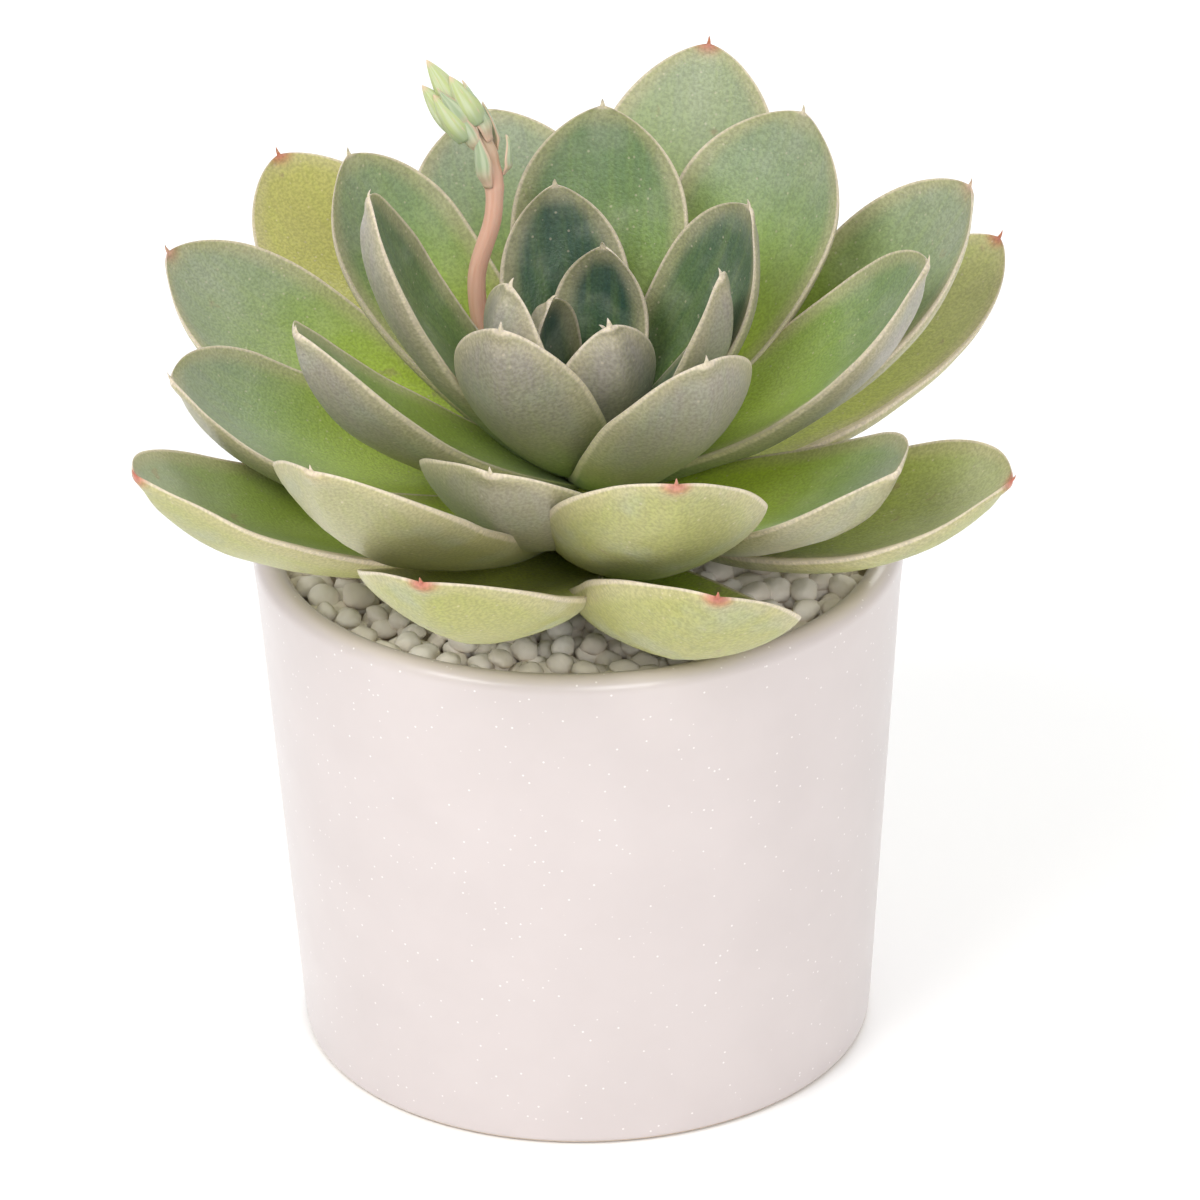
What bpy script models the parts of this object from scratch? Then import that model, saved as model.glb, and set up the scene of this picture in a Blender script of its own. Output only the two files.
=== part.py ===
"""A rosette succulent in flower, with the glazed pot, gravel and potting mix that it grows in.

Metres, +Z up. The origin is the centre of the pot's foot. +Y is the far side, and +X the right.
Headings are degrees round +Z from +X. A leaf's place is its number in the spiral, from the centre.
"""

import math

import bmesh
import bpy
import numpy as np
from mathutils import Matrix, Vector, noise

MM = 0.001
GAP = 0.3 * MM  # clearance between pieces that touch
SPECK = 0.02 * MM  # points this close after a cut are one

# The pot
POT_HEIGHT = 87 * MM
RIM_RADIUS = 52.5 * MM
FOOT_RADIUS = 46.5 * MM
WALL = 5 * MM
POT_FLOOR = 7 * MM
FOOT_ROUND = 1.5 * MM
POT_STEPS = 48

# What fills it
GRAVEL_DROP = 5 * MM  # from the rim down to the gravel
GRAVEL_DEPTH = 9 * MM
PEBBLE = 4 * MM
PEBBLE_RELIEF = 1.2 * MM
GRAVEL_RINGS = 10
GRAVEL_STEPS = 40

# The stem that carries the leaves, and its root below
STEM_COVER = 0.8 * MM  # how far the stem reaches out past where the leaves start
STEM_PLACES = (36, 27, 18, 9, 3)  # the places in the spiral where its width is set
NECK_RADIUS = 6 * MM
NECK_DROP = 4 * MM  # from the rim down to the neck
ROOT_DEPTH = 36 * MM
ROOT_TIP_RADIUS = 1.5 * MM
ROOT_FULLNESS = 0.7  # how near the root's middle is to the neck's width

# The rosette: one leaf after another, each a golden angle on
GOLDEN_TURN = 137.5
FIRST_HEADING = 12.5
LAST_PLACE = 36
SHED_PLACES = (30, 31, 33, 34, 35)  # old leaves that have dropped
CROWN_RISE = 20 * MM  # the centre leaf's base, above the rim
LEAF_STEP = 0.55 * MM  # how much lower each leaf starts
INNER_START = 1.5 * MM  # how far from the stem's axis a leaf starts
OUTER_START = 9 * MM
LEAN = 7  # the whole rosette leans this far
LEAN_HEADING = 252
CROWN_OFFSET = 2 * MM  # to the right of the pot's axis

# A leaf's size, from the centre leaf to one that is full grown
INNER_LEAF_LENGTH = 18 * MM
OUTER_LEAF_LENGTH = 84 * MM
FULL_LENGTH_PLACE = 25
INNER_LEAF_WIDTH = 9 * MM
OUTER_LEAF_WIDTH = 34 * MM
FULL_WIDTH_PLACE = 16
LEAF_THICKNESS = 6.2 * MM
INNER_RISE = 70
OUTER_RISE = 10
LOW_PLACE = 26
MIDDLE_PLACE = 8  # where the middle ring's finish starts
OUTER_PLACE = 20
LENGTH_POWER = 0.75  # below 1, a size changes faster near the centre
WIDTH_POWER = 0.55
RISE_POWER = 0.6
START_POWER = 0.7
INNER_THICKNESS_SHARE = 0.6
LEAF_CURL = 36  # how far the tip turns up from the base's own direction
CURL_POWER = 2.2  # higher keeps the curl to the leaf's end
LEAF_FOLD = 25  # how far each half turns up from the midrib

# A leaf's outline and section
INNER_BASE_SHARE = 0.6  # the width at the base, as a share of the full width
OUTER_BASE_SHARE = 0.36
INNER_WIDEST_AT = 0.5
OUTER_WIDEST_AT = 0.68
NECK_EASE = 1.25  # higher keeps the neck narrow for longer
END_FULLNESS = 2.3  # higher gives a blunter end
END_ROUNDNESS = 1.5  # 1 gives a pointed end, 2 a round one
THIN_TIP_SHARE = 0.12
NECK_THICKNESS_SHARE = 0.55
EDGE_THICKNESS_SHARE = 0.15
BASE_FOLD_SHARE = 0.45  # how much of the fold the leaf has at its base
FOLD_GAIN = 0.75  # and how fast it gains the rest
LAST_STATION = 0.985
STATION_CROWDING = 1.4  # above 1, stations stand closer near the tip
STATIONS = 9
HALF_SECTION = 5  # points across the upper face
MUCRO = 1.2 * MM  # the small point at a leaf's tip

# Where a leaf leaves the rule: degrees, or a share of its size
DEPARTURES = {
    1: {"lift": 12},
    2: {"turn": 10, "lift": 3, "wide": 1.1},
    3: {"turn": 5, "lift": 4, "long": 0.95, "wide": 0.88},
    4: {"turn": 8, "lift": 14, "fold": -15},
    5: {"long": 1.1, "fold": -15},
    6: {"turn": -21, "lift": 4, "wide": 0.9},
    7: {"turn": -12, "lift": 6},
    8: {"turn": -10, "lift": 3, "wide": 1.1},
    9: {"turn": 9, "lift": 12, "long": 1.18, "wide": 0.9},
    10: {"turn": -6},
    11: {"turn": -3, "lift": 5, "long": 1.04},
    12: {"turn": -14, "long": 1.1},
    13: {"turn": -5, "lift": -5, "long": 1.1},
    14: {"turn": -1, "lift": 3, "wide": 0.84},
    15: {"turn": -19, "lift": -3, "roll": -8},
    16: {"turn": -7, "lift": 5},
    17: {"lift": -8, "wide": 1.1},
    18: {"turn": -5, "lift": -11, "long": 0.87},
    19: {"turn": -3, "lift": -6},
    20: {"turn": -4, "lift": 4, "long": 1.17},
    21: {"lift": 4, "long": 0.97},
    22: {"long": 0.94},
    23: {"turn": -13, "lift": 10, "roll": -10},
    24: {"lift": 6, "wide": 0.95},
    25: {"lift": 3, "long": 0.97},
    26: {"turn": -8, "lift": -7, "long": 0.8},
    27: {"lift": -2, "wide": 0.95},
    28: {"turn": -11, "lift": 6, "long": 0.95},
    29: {"turn": -6, "lift": -7, "long": 0.94, "wide": 0.86},
    32: {"lift": -14, "long": 0.9},
    36: {"turn": 3, "lift": 6, "long": 0.9, "roll": -22},
}

# The flower stalk, in mm from the crown's foot: right, away, up
STALK_ROUTE_MM = (
    (-3, 3.5, 16),
    (-8.5, 8.5, 20),
    (-14, 12.5, 28),
    (-15.5, 14, 39),
    (-12.5, 15, 50),
    (-13, 17, 59),
    (-17, 18.5, 65.5),
)
STALK_RADIUS = 1.55 * MM
STALK_POINTS = 14
STALK_SHARES = 100  # how finely a place along the stalk is looked up

# Bracts on the stalk, bottom to top: where along it, heading, opening angle, length and width in mm
BRACTS = (
    (0.74, 225, 8, 11, 3.8),
    (0.77, 0, 11, 6.5, 2.6),
    (0.84, 40, 6, 8, 2.6),
    (0.86, 235, 8, 11, 3.6),
    (0.88, 325, 8, 11, 3.3),
    (0.95, 265, 7, 9, 3.5),
)
BRACT_THICKNESS = 1.3 * MM
BRACT_TIP_DROOP = 0.3 * MM  # how far the tip leans back to the stalk
BRACT_LAST_SECTION = 0.92
BRACT_SECTIONS = 6
BRACT_SIDES = 8

# Closed buds at the stalk's top: how far below its end in mm, heading, opening angle, length in mm
BUDS = (
    (0, 0, 0, 11),
    (1.5, 185, 6, 9.5),
    (3, 225, 6, 9),
    (2, 320, 3, 9),
    (2.5, 100, 6, 9),
)
BUD_RADIUS = 2.1 * MM
BUD_LAST_SECTION = 0.94
BUD_SECTIONS = 7
BUD_SIDES = 8


def leaf_places():
    return [place for place in range(LAST_PLACE + 1) if place not in SHED_PLACES]


def growth(place, full_place, power):
    """0 at the centre leaf, and 1 from the place where leaves are full grown."""
    return min(1, place / full_place) ** power


def between(inner, outer, share):
    return inner + (outer - inner) * share


def leaf_start(place):
    """How far from the stem's axis the leaf at this place starts."""
    return between(INNER_START, OUTER_START, growth(place, LAST_PLACE, START_POWER))


def leaf_values(place):
    """The size and pose of the leaf at this place: the rule, then the leaf's own departure."""
    own = DEPARTURES.get(place, {})
    length = between(INNER_LEAF_LENGTH, OUTER_LEAF_LENGTH, growth(place, FULL_LENGTH_PLACE, LENGTH_POWER))
    width = between(INNER_LEAF_WIDTH, OUTER_LEAF_WIDTH, growth(place, FULL_WIDTH_PLACE, WIDTH_POWER))
    rise = between(INNER_RISE, OUTER_RISE, growth(place, LOW_PLACE, RISE_POWER))
    fleshy = growth(place, FULL_WIDTH_PLACE, 1)
    return {
        "heading": FIRST_HEADING + GOLDEN_TURN * place + own.get("turn", 0),
        "rise": rise + own.get("lift", 0),
        "curl": LEAF_CURL,
        "fold": LEAF_FOLD + own.get("fold", 0),
        "roll": own.get("roll", 0),
        "length": length * own.get("long", 1),
        "width": width * own.get("wide", 1),
        "thickness": LEAF_THICKNESS * between(INNER_THICKNESS_SHARE, 1, fleshy),
        "base_share": between(INNER_BASE_SHARE, OUTER_BASE_SHARE, fleshy),
        "widest_at": between(INNER_WIDEST_AT, OUTER_WIDEST_AT, fleshy),
        "start": leaf_start(place),
        "height": CROWN_RISE - LEAF_STEP * place,
    }


def half_width_share(leaf, along):
    """The leaf's outline: a neck that widens to its widest place, then a bluntly pointed end."""
    widest_at = leaf["widest_at"]
    neck = np.sin(math.pi / 2 * np.clip(along / widest_at, 0, 1)) ** NECK_EASE
    past = np.clip((along - widest_at) / (1 - widest_at), 0, 1)
    end = (1 - past**END_FULLNESS) ** (1 / END_ROUNDNESS)
    return np.where(along < widest_at, between(leaf["base_share"], 1, neck), end)


def thickness_share(along):
    """Fleshy in the middle, thinner at the neck and towards the tip."""
    swell = np.sin(math.pi * np.clip(along, 0, 1) ** 0.8) ** 0.6
    thick = between(NECK_THICKNESS_SHARE, 1, swell) * (1 - along**5)
    return np.maximum(thick, THIN_TIP_SHARE)


def unit(angle_up, heading):
    """Unit vectors that rise by angle_up and point along heading, both in radians."""
    level = np.cos(angle_up)
    return np.stack([level * math.cos(heading), level * math.sin(heading), np.sin(angle_up)], -1)


def leaf_spine(leaf, along):
    """Points on the leaf's midrib, with its direction, its left and its upper side at each."""
    fine = np.linspace(0, 1, 61)
    angle_up = math.radians(leaf["rise"]) + math.radians(leaf["curl"]) * fine**CURL_POWER
    heading = math.radians(leaf["heading"])
    steps = unit(angle_up, heading)
    middle = (steps[1:] + steps[:-1]) / 2 * leaf["length"] / (len(fine) - 1)
    points = np.vstack([np.zeros(3), np.cumsum(middle, axis=0)])
    base = (leaf["start"] * math.cos(heading), leaf["start"] * math.sin(heading))
    points += (*base, leaf["height"])
    at = np.stack([np.interp(along, fine, points[:, axis]) for axis in range(3)], -1)
    up_at = np.interp(along, fine, angle_up)
    forward = unit(up_at, heading)
    left = np.array([-math.sin(heading), math.cos(heading), 0])
    above = np.cross(forward, left)
    twist = math.radians(leaf["roll"]) * np.clip(along * 1.5, 0, 1)
    cos, sin = np.cos(twist)[:, None], np.sin(twist)[:, None]
    return at, cos * left + sin * above, cos * above - sin * left


def leaf_faces(leaf, along, across, grow=0.0):
    """Grids of points on the leaf's upper and lower faces, grown outwards by grow."""
    at, left, above = leaf_spine(leaf, along)
    half = leaf["width"] / 2 * half_width_share(leaf, along)
    folded = np.clip(BASE_FOLD_SHARE + FOLD_GAIN * along, 0, 1)
    fold = math.radians(leaf["fold"]) * folded
    angle = fold[:, None] * across
    radius = (half / fold)[:, None]
    sideways = radius * np.sin(angle) + grow * across
    upward = radius * (1 - np.cos(angle))
    crown = between(EDGE_THICKNESS_SHARE, 1, (1 - across**2) ** 0.75)
    flesh = leaf["thickness"] * thickness_share(along)
    flesh = flesh * np.minimum(1, 2 * half / (0.9 * leaf["thickness"]))
    depth = flesh[:, None] * crown + grow
    upper = (
        at[:, None]
        + (sideways - np.sin(angle) * grow)[..., None] * left[:, None]
        + (upward + np.cos(angle) * grow)[..., None] * above[:, None]
    )
    lower = (
        at[:, None]
        + (sideways + np.sin(angle) * depth)[..., None] * left[:, None]
        + (upward - np.cos(angle) * depth)[..., None] * above[:, None]
    )
    return upper, lower


def crown_matrix():
    """Sets the rosette on the pot at the rim's level, a little aside, and leans it."""
    heading = math.radians(LEAN_HEADING)
    axis = Vector((-math.sin(heading), math.cos(heading), 0))
    place = Matrix.Translation((CROWN_OFFSET, 0, POT_HEIGHT))
    return place @ Matrix.Rotation(math.radians(LEAN), 4, axis)


def pot_radius(height):
    """The pot's outer radius at this height."""
    return between(FOOT_RADIUS, RIM_RADIUS, height / POT_HEIGHT)


def arc(centre, radius, start, end, points):
    """Points on an arc in the profile's plane, angles in degrees."""
    angles = np.radians(np.linspace(start, end, points))
    return [(centre[0] + radius * math.cos(a), centre[1] + radius * math.sin(a)) for a in angles]


# Objects and materials


def linear(hex_colour):
    channels = [int(hex_colour[i : i + 2], 16) / 255 for i in (0, 2, 4)]
    return [c / 12.92 if c <= 0.04045 else ((c + 0.055) / 1.055) ** 2.4 for c in channels]


def make_material(name, hex_colour, roughness):
    material = bpy.data.materials.new(name)
    material.use_nodes = True
    shader = material.node_tree.nodes["Principled BSDF"]
    shader.inputs["Base Color"].default_value = (*linear(hex_colour), 1)
    shader.inputs["Roughness"].default_value = roughness
    shader.inputs["Metallic"].default_value = 0
    return material


def add_object(name, data, collection, material=None):
    made = bpy.data.objects.new(name, data)
    collection.objects.link(made)
    if material:
        data.materials.append(material)
    return made


def hide_cutter(cutter):
    cutter.hide_render = True
    cutter.display_type = "WIRE"
    return cutter


def turned(name, profile, collection, material, steps=POT_STEPS):
    """A profile of (radius, height) points, turned about +Z by a Screw."""
    mesh = bpy.data.meshes.new(name)
    points = [(radius, 0, height) for radius, height in profile]
    mesh.from_pydata(points, [(i, i + 1) for i in range(len(points) - 1)], [])
    made = add_object(name, mesh, collection, material)
    screw = made.modifiers.new("Turn", "SCREW")
    screw.steps = steps
    screw.render_steps = steps
    screw.use_merge_vertices = True
    screw.merge_threshold = 0.00001
    screw.use_smooth_shade = True
    return made


def as_mesh(source, name, collection, material=None, weld=0.001 * MM):
    """Replaces a curve or a modified object by its evaluated mesh, with near points welded."""
    bpy.context.view_layer.update()
    graph = bpy.context.evaluated_depsgraph_get()
    mesh = bpy.data.meshes.new_from_object(source.evaluated_get(graph))
    welded = bmesh.new()
    welded.from_mesh(mesh)
    bmesh.ops.remove_doubles(welded, verts=welded.verts, dist=weld)
    bmesh.ops.dissolve_degenerate(welded, edges=welded.edges, dist=weld)
    bmesh.ops.recalc_face_normals(welded, faces=welded.faces)
    welded.to_mesh(mesh)
    welded.free()
    mesh.shade_smooth()
    matrix = source.matrix_world.copy()
    bpy.data.objects.remove(source)
    mesh.materials.clear()
    made = add_object(name, mesh, collection, material)
    made.matrix_world = matrix
    return made


def loft(name, rings, tip, collection, material=None):
    """Joins rings of points, closes the first with a cap, and brings the last to the tip."""
    count = len(rings[0])
    body = bmesh.new()
    rows = [[body.verts.new(point) for point in ring] for ring in rings]
    for row, following in zip(rows, rows[1:]):
        for i in range(count):
            j = (i + 1) % count
            body.faces.new((row[i], row[j], following[j], following[i]))
    body.faces.new(rows[0])
    end = body.verts.new(tip)
    for i in range(count):
        body.faces.new((rows[-1][i], rows[-1][(i + 1) % count], end))
    bmesh.ops.recalc_face_normals(body, faces=body.faces)
    mesh = bpy.data.meshes.new(name)
    body.to_mesh(mesh)
    body.free()
    mesh.shade_smooth()
    return add_object(name, mesh, collection, material)


def tube(name, points, radii, collection, material=None):
    """A bevelled curve through the points, with a radius at each, made a mesh."""
    curve = bpy.data.curves.new(name, "CURVE")
    curve.dimensions = "3D"
    curve.bevel_depth = 1
    curve.bevel_resolution = 2
    curve.use_fill_caps = True
    spline = curve.splines.new("POLY")
    spline.points.add(len(points) - 1)
    for spot, point, radius in zip(spline.points, points, radii):
        spot.co = (*point, 1)
        spot.radius = radius
    return as_mesh(add_object(name, curve, collection), name, collection, material)


def cut(made, cutters):
    for cutter in cutters:
        boolean = made.modifiers.new("Clear " + cutter.name, "BOOLEAN")
        boolean.operation = "DIFFERENCE"
        boolean.solver = "EXACT"
        boolean.object = cutter


# The pot and what fills it


def make_pot(collection, material):
    """One turned shell: floor, wall with a slight taper, rounded lip and foot."""
    lip = WALL / 2
    lip_centre = (RIM_RADIUS - lip, POT_HEIGHT - lip)
    foot_centre = (FOOT_RADIUS - FOOT_ROUND, FOOT_ROUND)
    profile = [(0, POT_FLOOR), (pot_radius(POT_FLOOR) - WALL, POT_FLOOR)]
    profile += arc(lip_centre, lip, 180, 0, 7)
    profile += arc(foot_centre, FOOT_ROUND, 0, -90, 4)
    profile += [(0, 0)]
    return turned("pot", profile, collection, material)


def make_potting_mix(collection, material, root_clearance):
    top = POT_HEIGHT - GRAVEL_DROP - GRAVEL_DEPTH - GAP
    bottom = POT_FLOOR + GAP
    profile = [(0, top)]
    profile += [(pot_radius(height) - WALL - GAP, height) for height in (top, bottom)]
    profile += [(0, bottom)]
    mix = turned("potting_mix", profile, collection, material)
    cut(mix, [root_clearance])
    return mix


def make_gravel(collection, material, root_clearance):
    """A bed of gravel as one solid, its top raised and lowered by a pebble's size."""
    top = POT_HEIGHT - GRAVEL_DROP
    bottom = top - GRAVEL_DEPTH
    outer = pot_radius(bottom) - WALL - GAP
    profile = [(outer * ring / GRAVEL_RINGS, top) for ring in range(GRAVEL_RINGS + 1)]
    profile += [(outer, bottom), (0, bottom)]
    bed = turned("bed", profile, collection, material, GRAVEL_STEPS)
    bed = as_mesh(bed, "gravel_top_dressing", collection, material)
    for vertex in bed.data.vertices:
        if vertex.co.z > top - MM:
            vertex.co.z += PEBBLE_RELIEF * (noise.noise(vertex.co / PEBBLE) - 0.5)
    cut(bed, [root_clearance])
    return bed


# The stem, and the root that goes down from it


def stem_points(cover):
    """(points, radii) from the root's tip up to the centre leaf, with cover added outside."""
    points = [(CROWN_OFFSET, 0, POT_HEIGHT - ROOT_DEPTH - cover)]
    points += [(CROWN_OFFSET, 0, POT_HEIGHT - ROOT_DEPTH / 2)]
    points += [(CROWN_OFFSET, 0, POT_HEIGHT - NECK_DROP)]
    middle = between(ROOT_TIP_RADIUS, NECK_RADIUS, ROOT_FULLNESS)
    radii = [ROOT_TIP_RADIUS, middle, NECK_RADIUS]
    lean = crown_matrix()
    for place in STEM_PLACES:
        points.append(lean @ Vector((0, 0, CROWN_RISE - LEAF_STEP * place)))
        radii.append(leaf_start(place) + STEM_COVER)
    top = lean @ Vector((0, 0, CROWN_RISE + cover))
    return [*points, top], [radius + cover for radius in [*radii, INNER_START]]


# Leaves, bracts and buds


def leaf_rings(leaf, grow):
    """The leaf's rings from base to tip, and its tip, in the crown's own frame."""
    along = LAST_STATION * (1 - (1 - np.linspace(0, 1, STATIONS)) ** STATION_CROWDING)
    across = np.linspace(1, -1, HALF_SECTION)
    upper, lower = leaf_faces(leaf, along, across, grow)
    rings = np.concatenate([upper, lower[:, ::-1]], axis=1)
    end, _, _ = leaf_spine(leaf, np.array([0.97, 1.0]))
    forward = (end[1] - end[0]) / np.linalg.norm(end[1] - end[0])
    rings[0] -= forward_of(leaf) * grow
    return rings, end[1] + forward * (MUCRO + grow)


def forward_of(leaf):
    """The direction that the leaf leaves its base in."""
    return unit(np.radians(leaf["rise"]), np.radians(leaf["heading"]))


def placed(points, matrix):
    return [matrix @ Vector(point) for point in points]


def make_leaf(name, place, collection, material=None, grow=0.0):
    rings, tip = leaf_rings(leaf_values(place), grow)
    matrix = crown_matrix()
    rings = [placed(ring, matrix) for ring in rings]
    return loft(name, rings, matrix @ Vector(tip), collection, material)


def stalk_route(count):
    """Points on one smooth curve through the stalk's route, in the pot's frame."""
    route = np.array(STALK_ROUTE_MM) * MM
    padded = np.vstack([2 * route[0] - route[1], route, 2 * route[-1] - route[-2]])
    points = []
    for share in np.linspace(0, len(route) - 1, count):
        i = min(int(share), len(route) - 2)
        t = share - i
        a, b, c, d = padded[i : i + 4]
        bend = (2 * a - 5 * b + 4 * c - d) * t**2 + (3 * b - a - 3 * c + d) * t**3
        points.append(b + ((c - a) * t + bend) / 2)
    return [Vector(point) + Vector((0, 0, POT_HEIGHT)) for point in points]


def stalk_frame(share):
    """A matrix at this share of the stalk, its Z along the stalk and its X to the right."""
    points = stalk_route(STALK_SHARES + 1)
    i = min(int(share * STALK_SHARES), STALK_SHARES - 1)
    along = (points[i + 1] - points[i]).normalized()
    side = along.cross(Vector((1, 0, 0))).normalized()
    right = side.cross(along)
    turn = Matrix((right, side, along)).transposed().to_4x4()
    return Matrix.Translation(points[i]) @ turn


def spread_matrix(frame, heading, opening, outwards):
    """Turns +Z to stand outwards from the stalk at a heading, opened away from it."""
    turn = Matrix.Rotation(math.radians(heading), 4, "Z")
    tilt = Matrix.Rotation(math.radians(opening), 4, "Y")
    return frame @ turn @ Matrix.Translation((outwards, 0, 0)) @ tilt


def make_bract(name, bract, collection, material=None, grow=0.0):
    """A small pointed leaf that clasps the stalk, its hollow side towards it."""
    share, heading, opening, length_mm, width_mm = bract
    length = length_mm * MM
    half = width_mm * MM / 2
    matrix = spread_matrix(stalk_frame(share), heading, opening, STALK_RADIUS + GAP)
    rings = []
    for along in np.linspace(0, BRACT_LAST_SECTION, BRACT_SECTIONS):
        width = half * (0.55 + 0.45 * math.sin(math.pi * min(1, along * 1.25))) * (1 - along**3)
        thick = BRACT_THICKNESS * (1 - 0.6 * along)
        ring = []
        for angle in np.linspace(0, 2 * math.pi, BRACT_SIDES, endpoint=False):
            across = (width + grow) * math.sin(angle)
            hollow = -0.5 * across**2 / (half + grow)
            out = thick / 2 + (thick / 2 + grow) * math.cos(angle) + hollow
            ring.append((out, across, along * length - grow * (along == 0)))
        rings.append(placed(ring, matrix))
    tip = matrix @ Vector((-BRACT_TIP_DROOP, 0, length + grow))
    return loft(name, rings, tip, collection, material)


def make_bud(name, bud, collection, material=None, grow=0.0):
    """A closed bud: a spindle, fullest a third of the way up."""
    below_mm, heading, opening, length_mm = bud
    length = length_mm * MM
    frame = stalk_frame(1) @ Matrix.Translation((0, 0, GAP - below_mm * MM))
    outwards = STALK_RADIUS + GAP if opening else 0
    matrix = spread_matrix(frame, heading, opening, outwards)
    rings = []
    for along in np.linspace(0, BUD_LAST_SECTION, BUD_SECTIONS):
        radius = BUD_RADIUS * math.sin(math.pi * (0.22 + 0.78 * along) ** 0.85) ** 0.8 + grow
        angles = np.linspace(0, 2 * math.pi, BUD_SIDES, endpoint=False)
        height = along * length - grow * (along == 0)
        ring = [(radius * math.cos(a), radius * math.sin(a), height) for a in angles]
        rings.append(placed(ring, matrix))
    return loft(name, rings, matrix @ Vector((0, 0, length + grow)), collection, material)


def body_of(face):
    """Every face joined to this one, across edges that only two faces share."""
    found = {face}
    waiting = [face]
    while waiting:
        edges = [edge for edge in waiting.pop().edges if len(edge.link_faces) == 2]
        beside = {other for edge in edges for other in edge.link_faces} - found
        found |= beside
        waiting += beside
    return found


def keep_one_body(organ):
    """Applies the cuts, and deletes the specks that they leave beside the organ."""
    name = organ.name
    material = organ.data.materials[0]
    collection = organ.users_collection[0]
    organ = as_mesh(organ, name, collection, material, SPECK)
    organ.name = name
    body = bmesh.new()
    body.from_mesh(organ.data)
    left = set(body.faces)
    bodies = []
    while left:
        bodies.append(body_of(next(iter(left))))
        left -= bodies[-1]
    bodies.sort(key=lambda faces: sum(face.calc_area() for face in faces))
    for specks in bodies[:-1]:
        bmesh.ops.delete(body, geom=list(specks), context="FACES")
    body.to_mesh(organ.data)
    body.free()


def boxes_meet(first, second):
    a = np.array([first.matrix_world @ vertex.co for vertex in first.data.vertices])
    b = np.array([second.matrix_world @ vertex.co for vertex in second.data.vertices])
    return bool((a.min(0) < b.max(0)).all() and (b.min(0) < a.max(0)).all())


def grow_organs(makers, parts, cutters, first_clearances):
    """Makes each organ in turn, and clears it of the grown outline of those before it."""
    clearances = list(first_clearances)
    for name, maker, value, material in makers:
        organ = maker(name, value, parts, material)
        near = [clearance for clearance in clearances if boxes_meet(organ, clearance)]
        cut(organ, near)
        keep_one_body(organ)
        clearance = maker("clear_" + name, value, cutters, grow=GAP)
        clearances.append(hide_cutter(clearance))


def leaf_material(place, materials):
    if place < MIDDLE_PLACE:
        return materials["leaf_inner"]
    if place < OUTER_PLACE:
        return materials["leaf_middle"]
    return materials["leaf_outer"]


def make_materials():
    looks = {
        "glazed_clay": ("E4DAD8", 0.35),
        "gravel": ("DCD6CC", 0.8),
        "potting_mix": ("3A2E26", 0.95),
        "stem": ("6E6248", 0.8),
        "leaf_inner": ("5F7A72", 0.55),
        "leaf_middle": ("86A06F", 0.55),
        "leaf_outer": ("9DB06A", 0.55),
        "stalk": ("D39A86", 0.5),
        "bract": ("9DB58C", 0.55),
        "bud": ("A9BE84", 0.5),
    }
    return {name: make_material(name, *look) for name, look in looks.items()}


def clear_scene():
    for old in list(bpy.data.objects):
        bpy.data.objects.remove(old)


def new_collection(name):
    made = bpy.data.collections.new(name)
    bpy.context.scene.collection.children.link(made)
    return made


def main():
    clear_scene()
    parts = new_collection("potted_succulent")
    cutters = new_collection("cutters")
    materials = make_materials()
    make_pot(parts, materials["glazed_clay"])
    tube("stem", *stem_points(0), parts, materials["stem"])
    stem_clearance = hide_cutter(tube("clear_stem", *stem_points(GAP), cutters))
    make_potting_mix(parts, materials["potting_mix"], stem_clearance)
    make_gravel(parts, materials["gravel"], stem_clearance)
    route = stalk_route(STALK_POINTS)
    stalk = tube("flower_stalk", route, [STALK_RADIUS] * len(route), parts, materials["stalk"])
    cut(stalk, [stem_clearance])
    wide = [STALK_RADIUS + GAP] * len(route)
    stalk_clearance = hide_cutter(tube("clear_stalk", route, wide, cutters))
    places = leaf_places()
    makers = [
        (f"bud_{i}", make_bud, bud, materials["bud"]) for i, bud in enumerate(BUDS, 1)
    ]
    makers += [
        (f"bract_{i}", make_bract, bract, materials["bract"])
        for i, bract in enumerate(reversed(BRACTS), 1)
    ]
    makers += [
        (f"leaf_{i:02d}", make_leaf, place, leaf_material(place, materials))
        for i, place in enumerate(places, 1)
    ]
    grow_organs(makers, parts, cutters, [stem_clearance, stalk_clearance])


main()
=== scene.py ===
"""A rosette succulent in flower, in a glazed pot topped with gravel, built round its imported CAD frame.

Metres, +Z up, in the frame's own axes. The leaves follow the CAD's rule, with finer surfaces.
A leaf's place is its number in the spiral, from the centre.
"""

import math

import bmesh
import bpy
import numpy as np
from bpy.props import FloatProperty, FloatVectorProperty, IntProperty, PointerProperty
from mathutils import Matrix, Vector, noise


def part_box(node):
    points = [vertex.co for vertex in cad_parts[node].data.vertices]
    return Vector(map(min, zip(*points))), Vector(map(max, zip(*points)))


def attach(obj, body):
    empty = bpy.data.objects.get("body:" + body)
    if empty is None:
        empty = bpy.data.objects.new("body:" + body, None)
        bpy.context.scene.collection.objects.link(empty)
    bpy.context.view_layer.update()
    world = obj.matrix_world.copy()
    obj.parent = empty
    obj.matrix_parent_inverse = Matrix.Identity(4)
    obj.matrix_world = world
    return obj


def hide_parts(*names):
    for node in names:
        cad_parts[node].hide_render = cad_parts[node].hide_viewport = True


bl_info = {
    "name": "Potted Succulent",
    "version": (1, 0, 0),
    "blender": (4, 5, 0),
    "location": "3D View > Sidebar > Succulent",
    "description": "Builds a rosette succulent in flower, with its glazed pot and gravel",
    "category": "Add Mesh",
}

MM = 0.001
BODY = "root"

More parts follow.
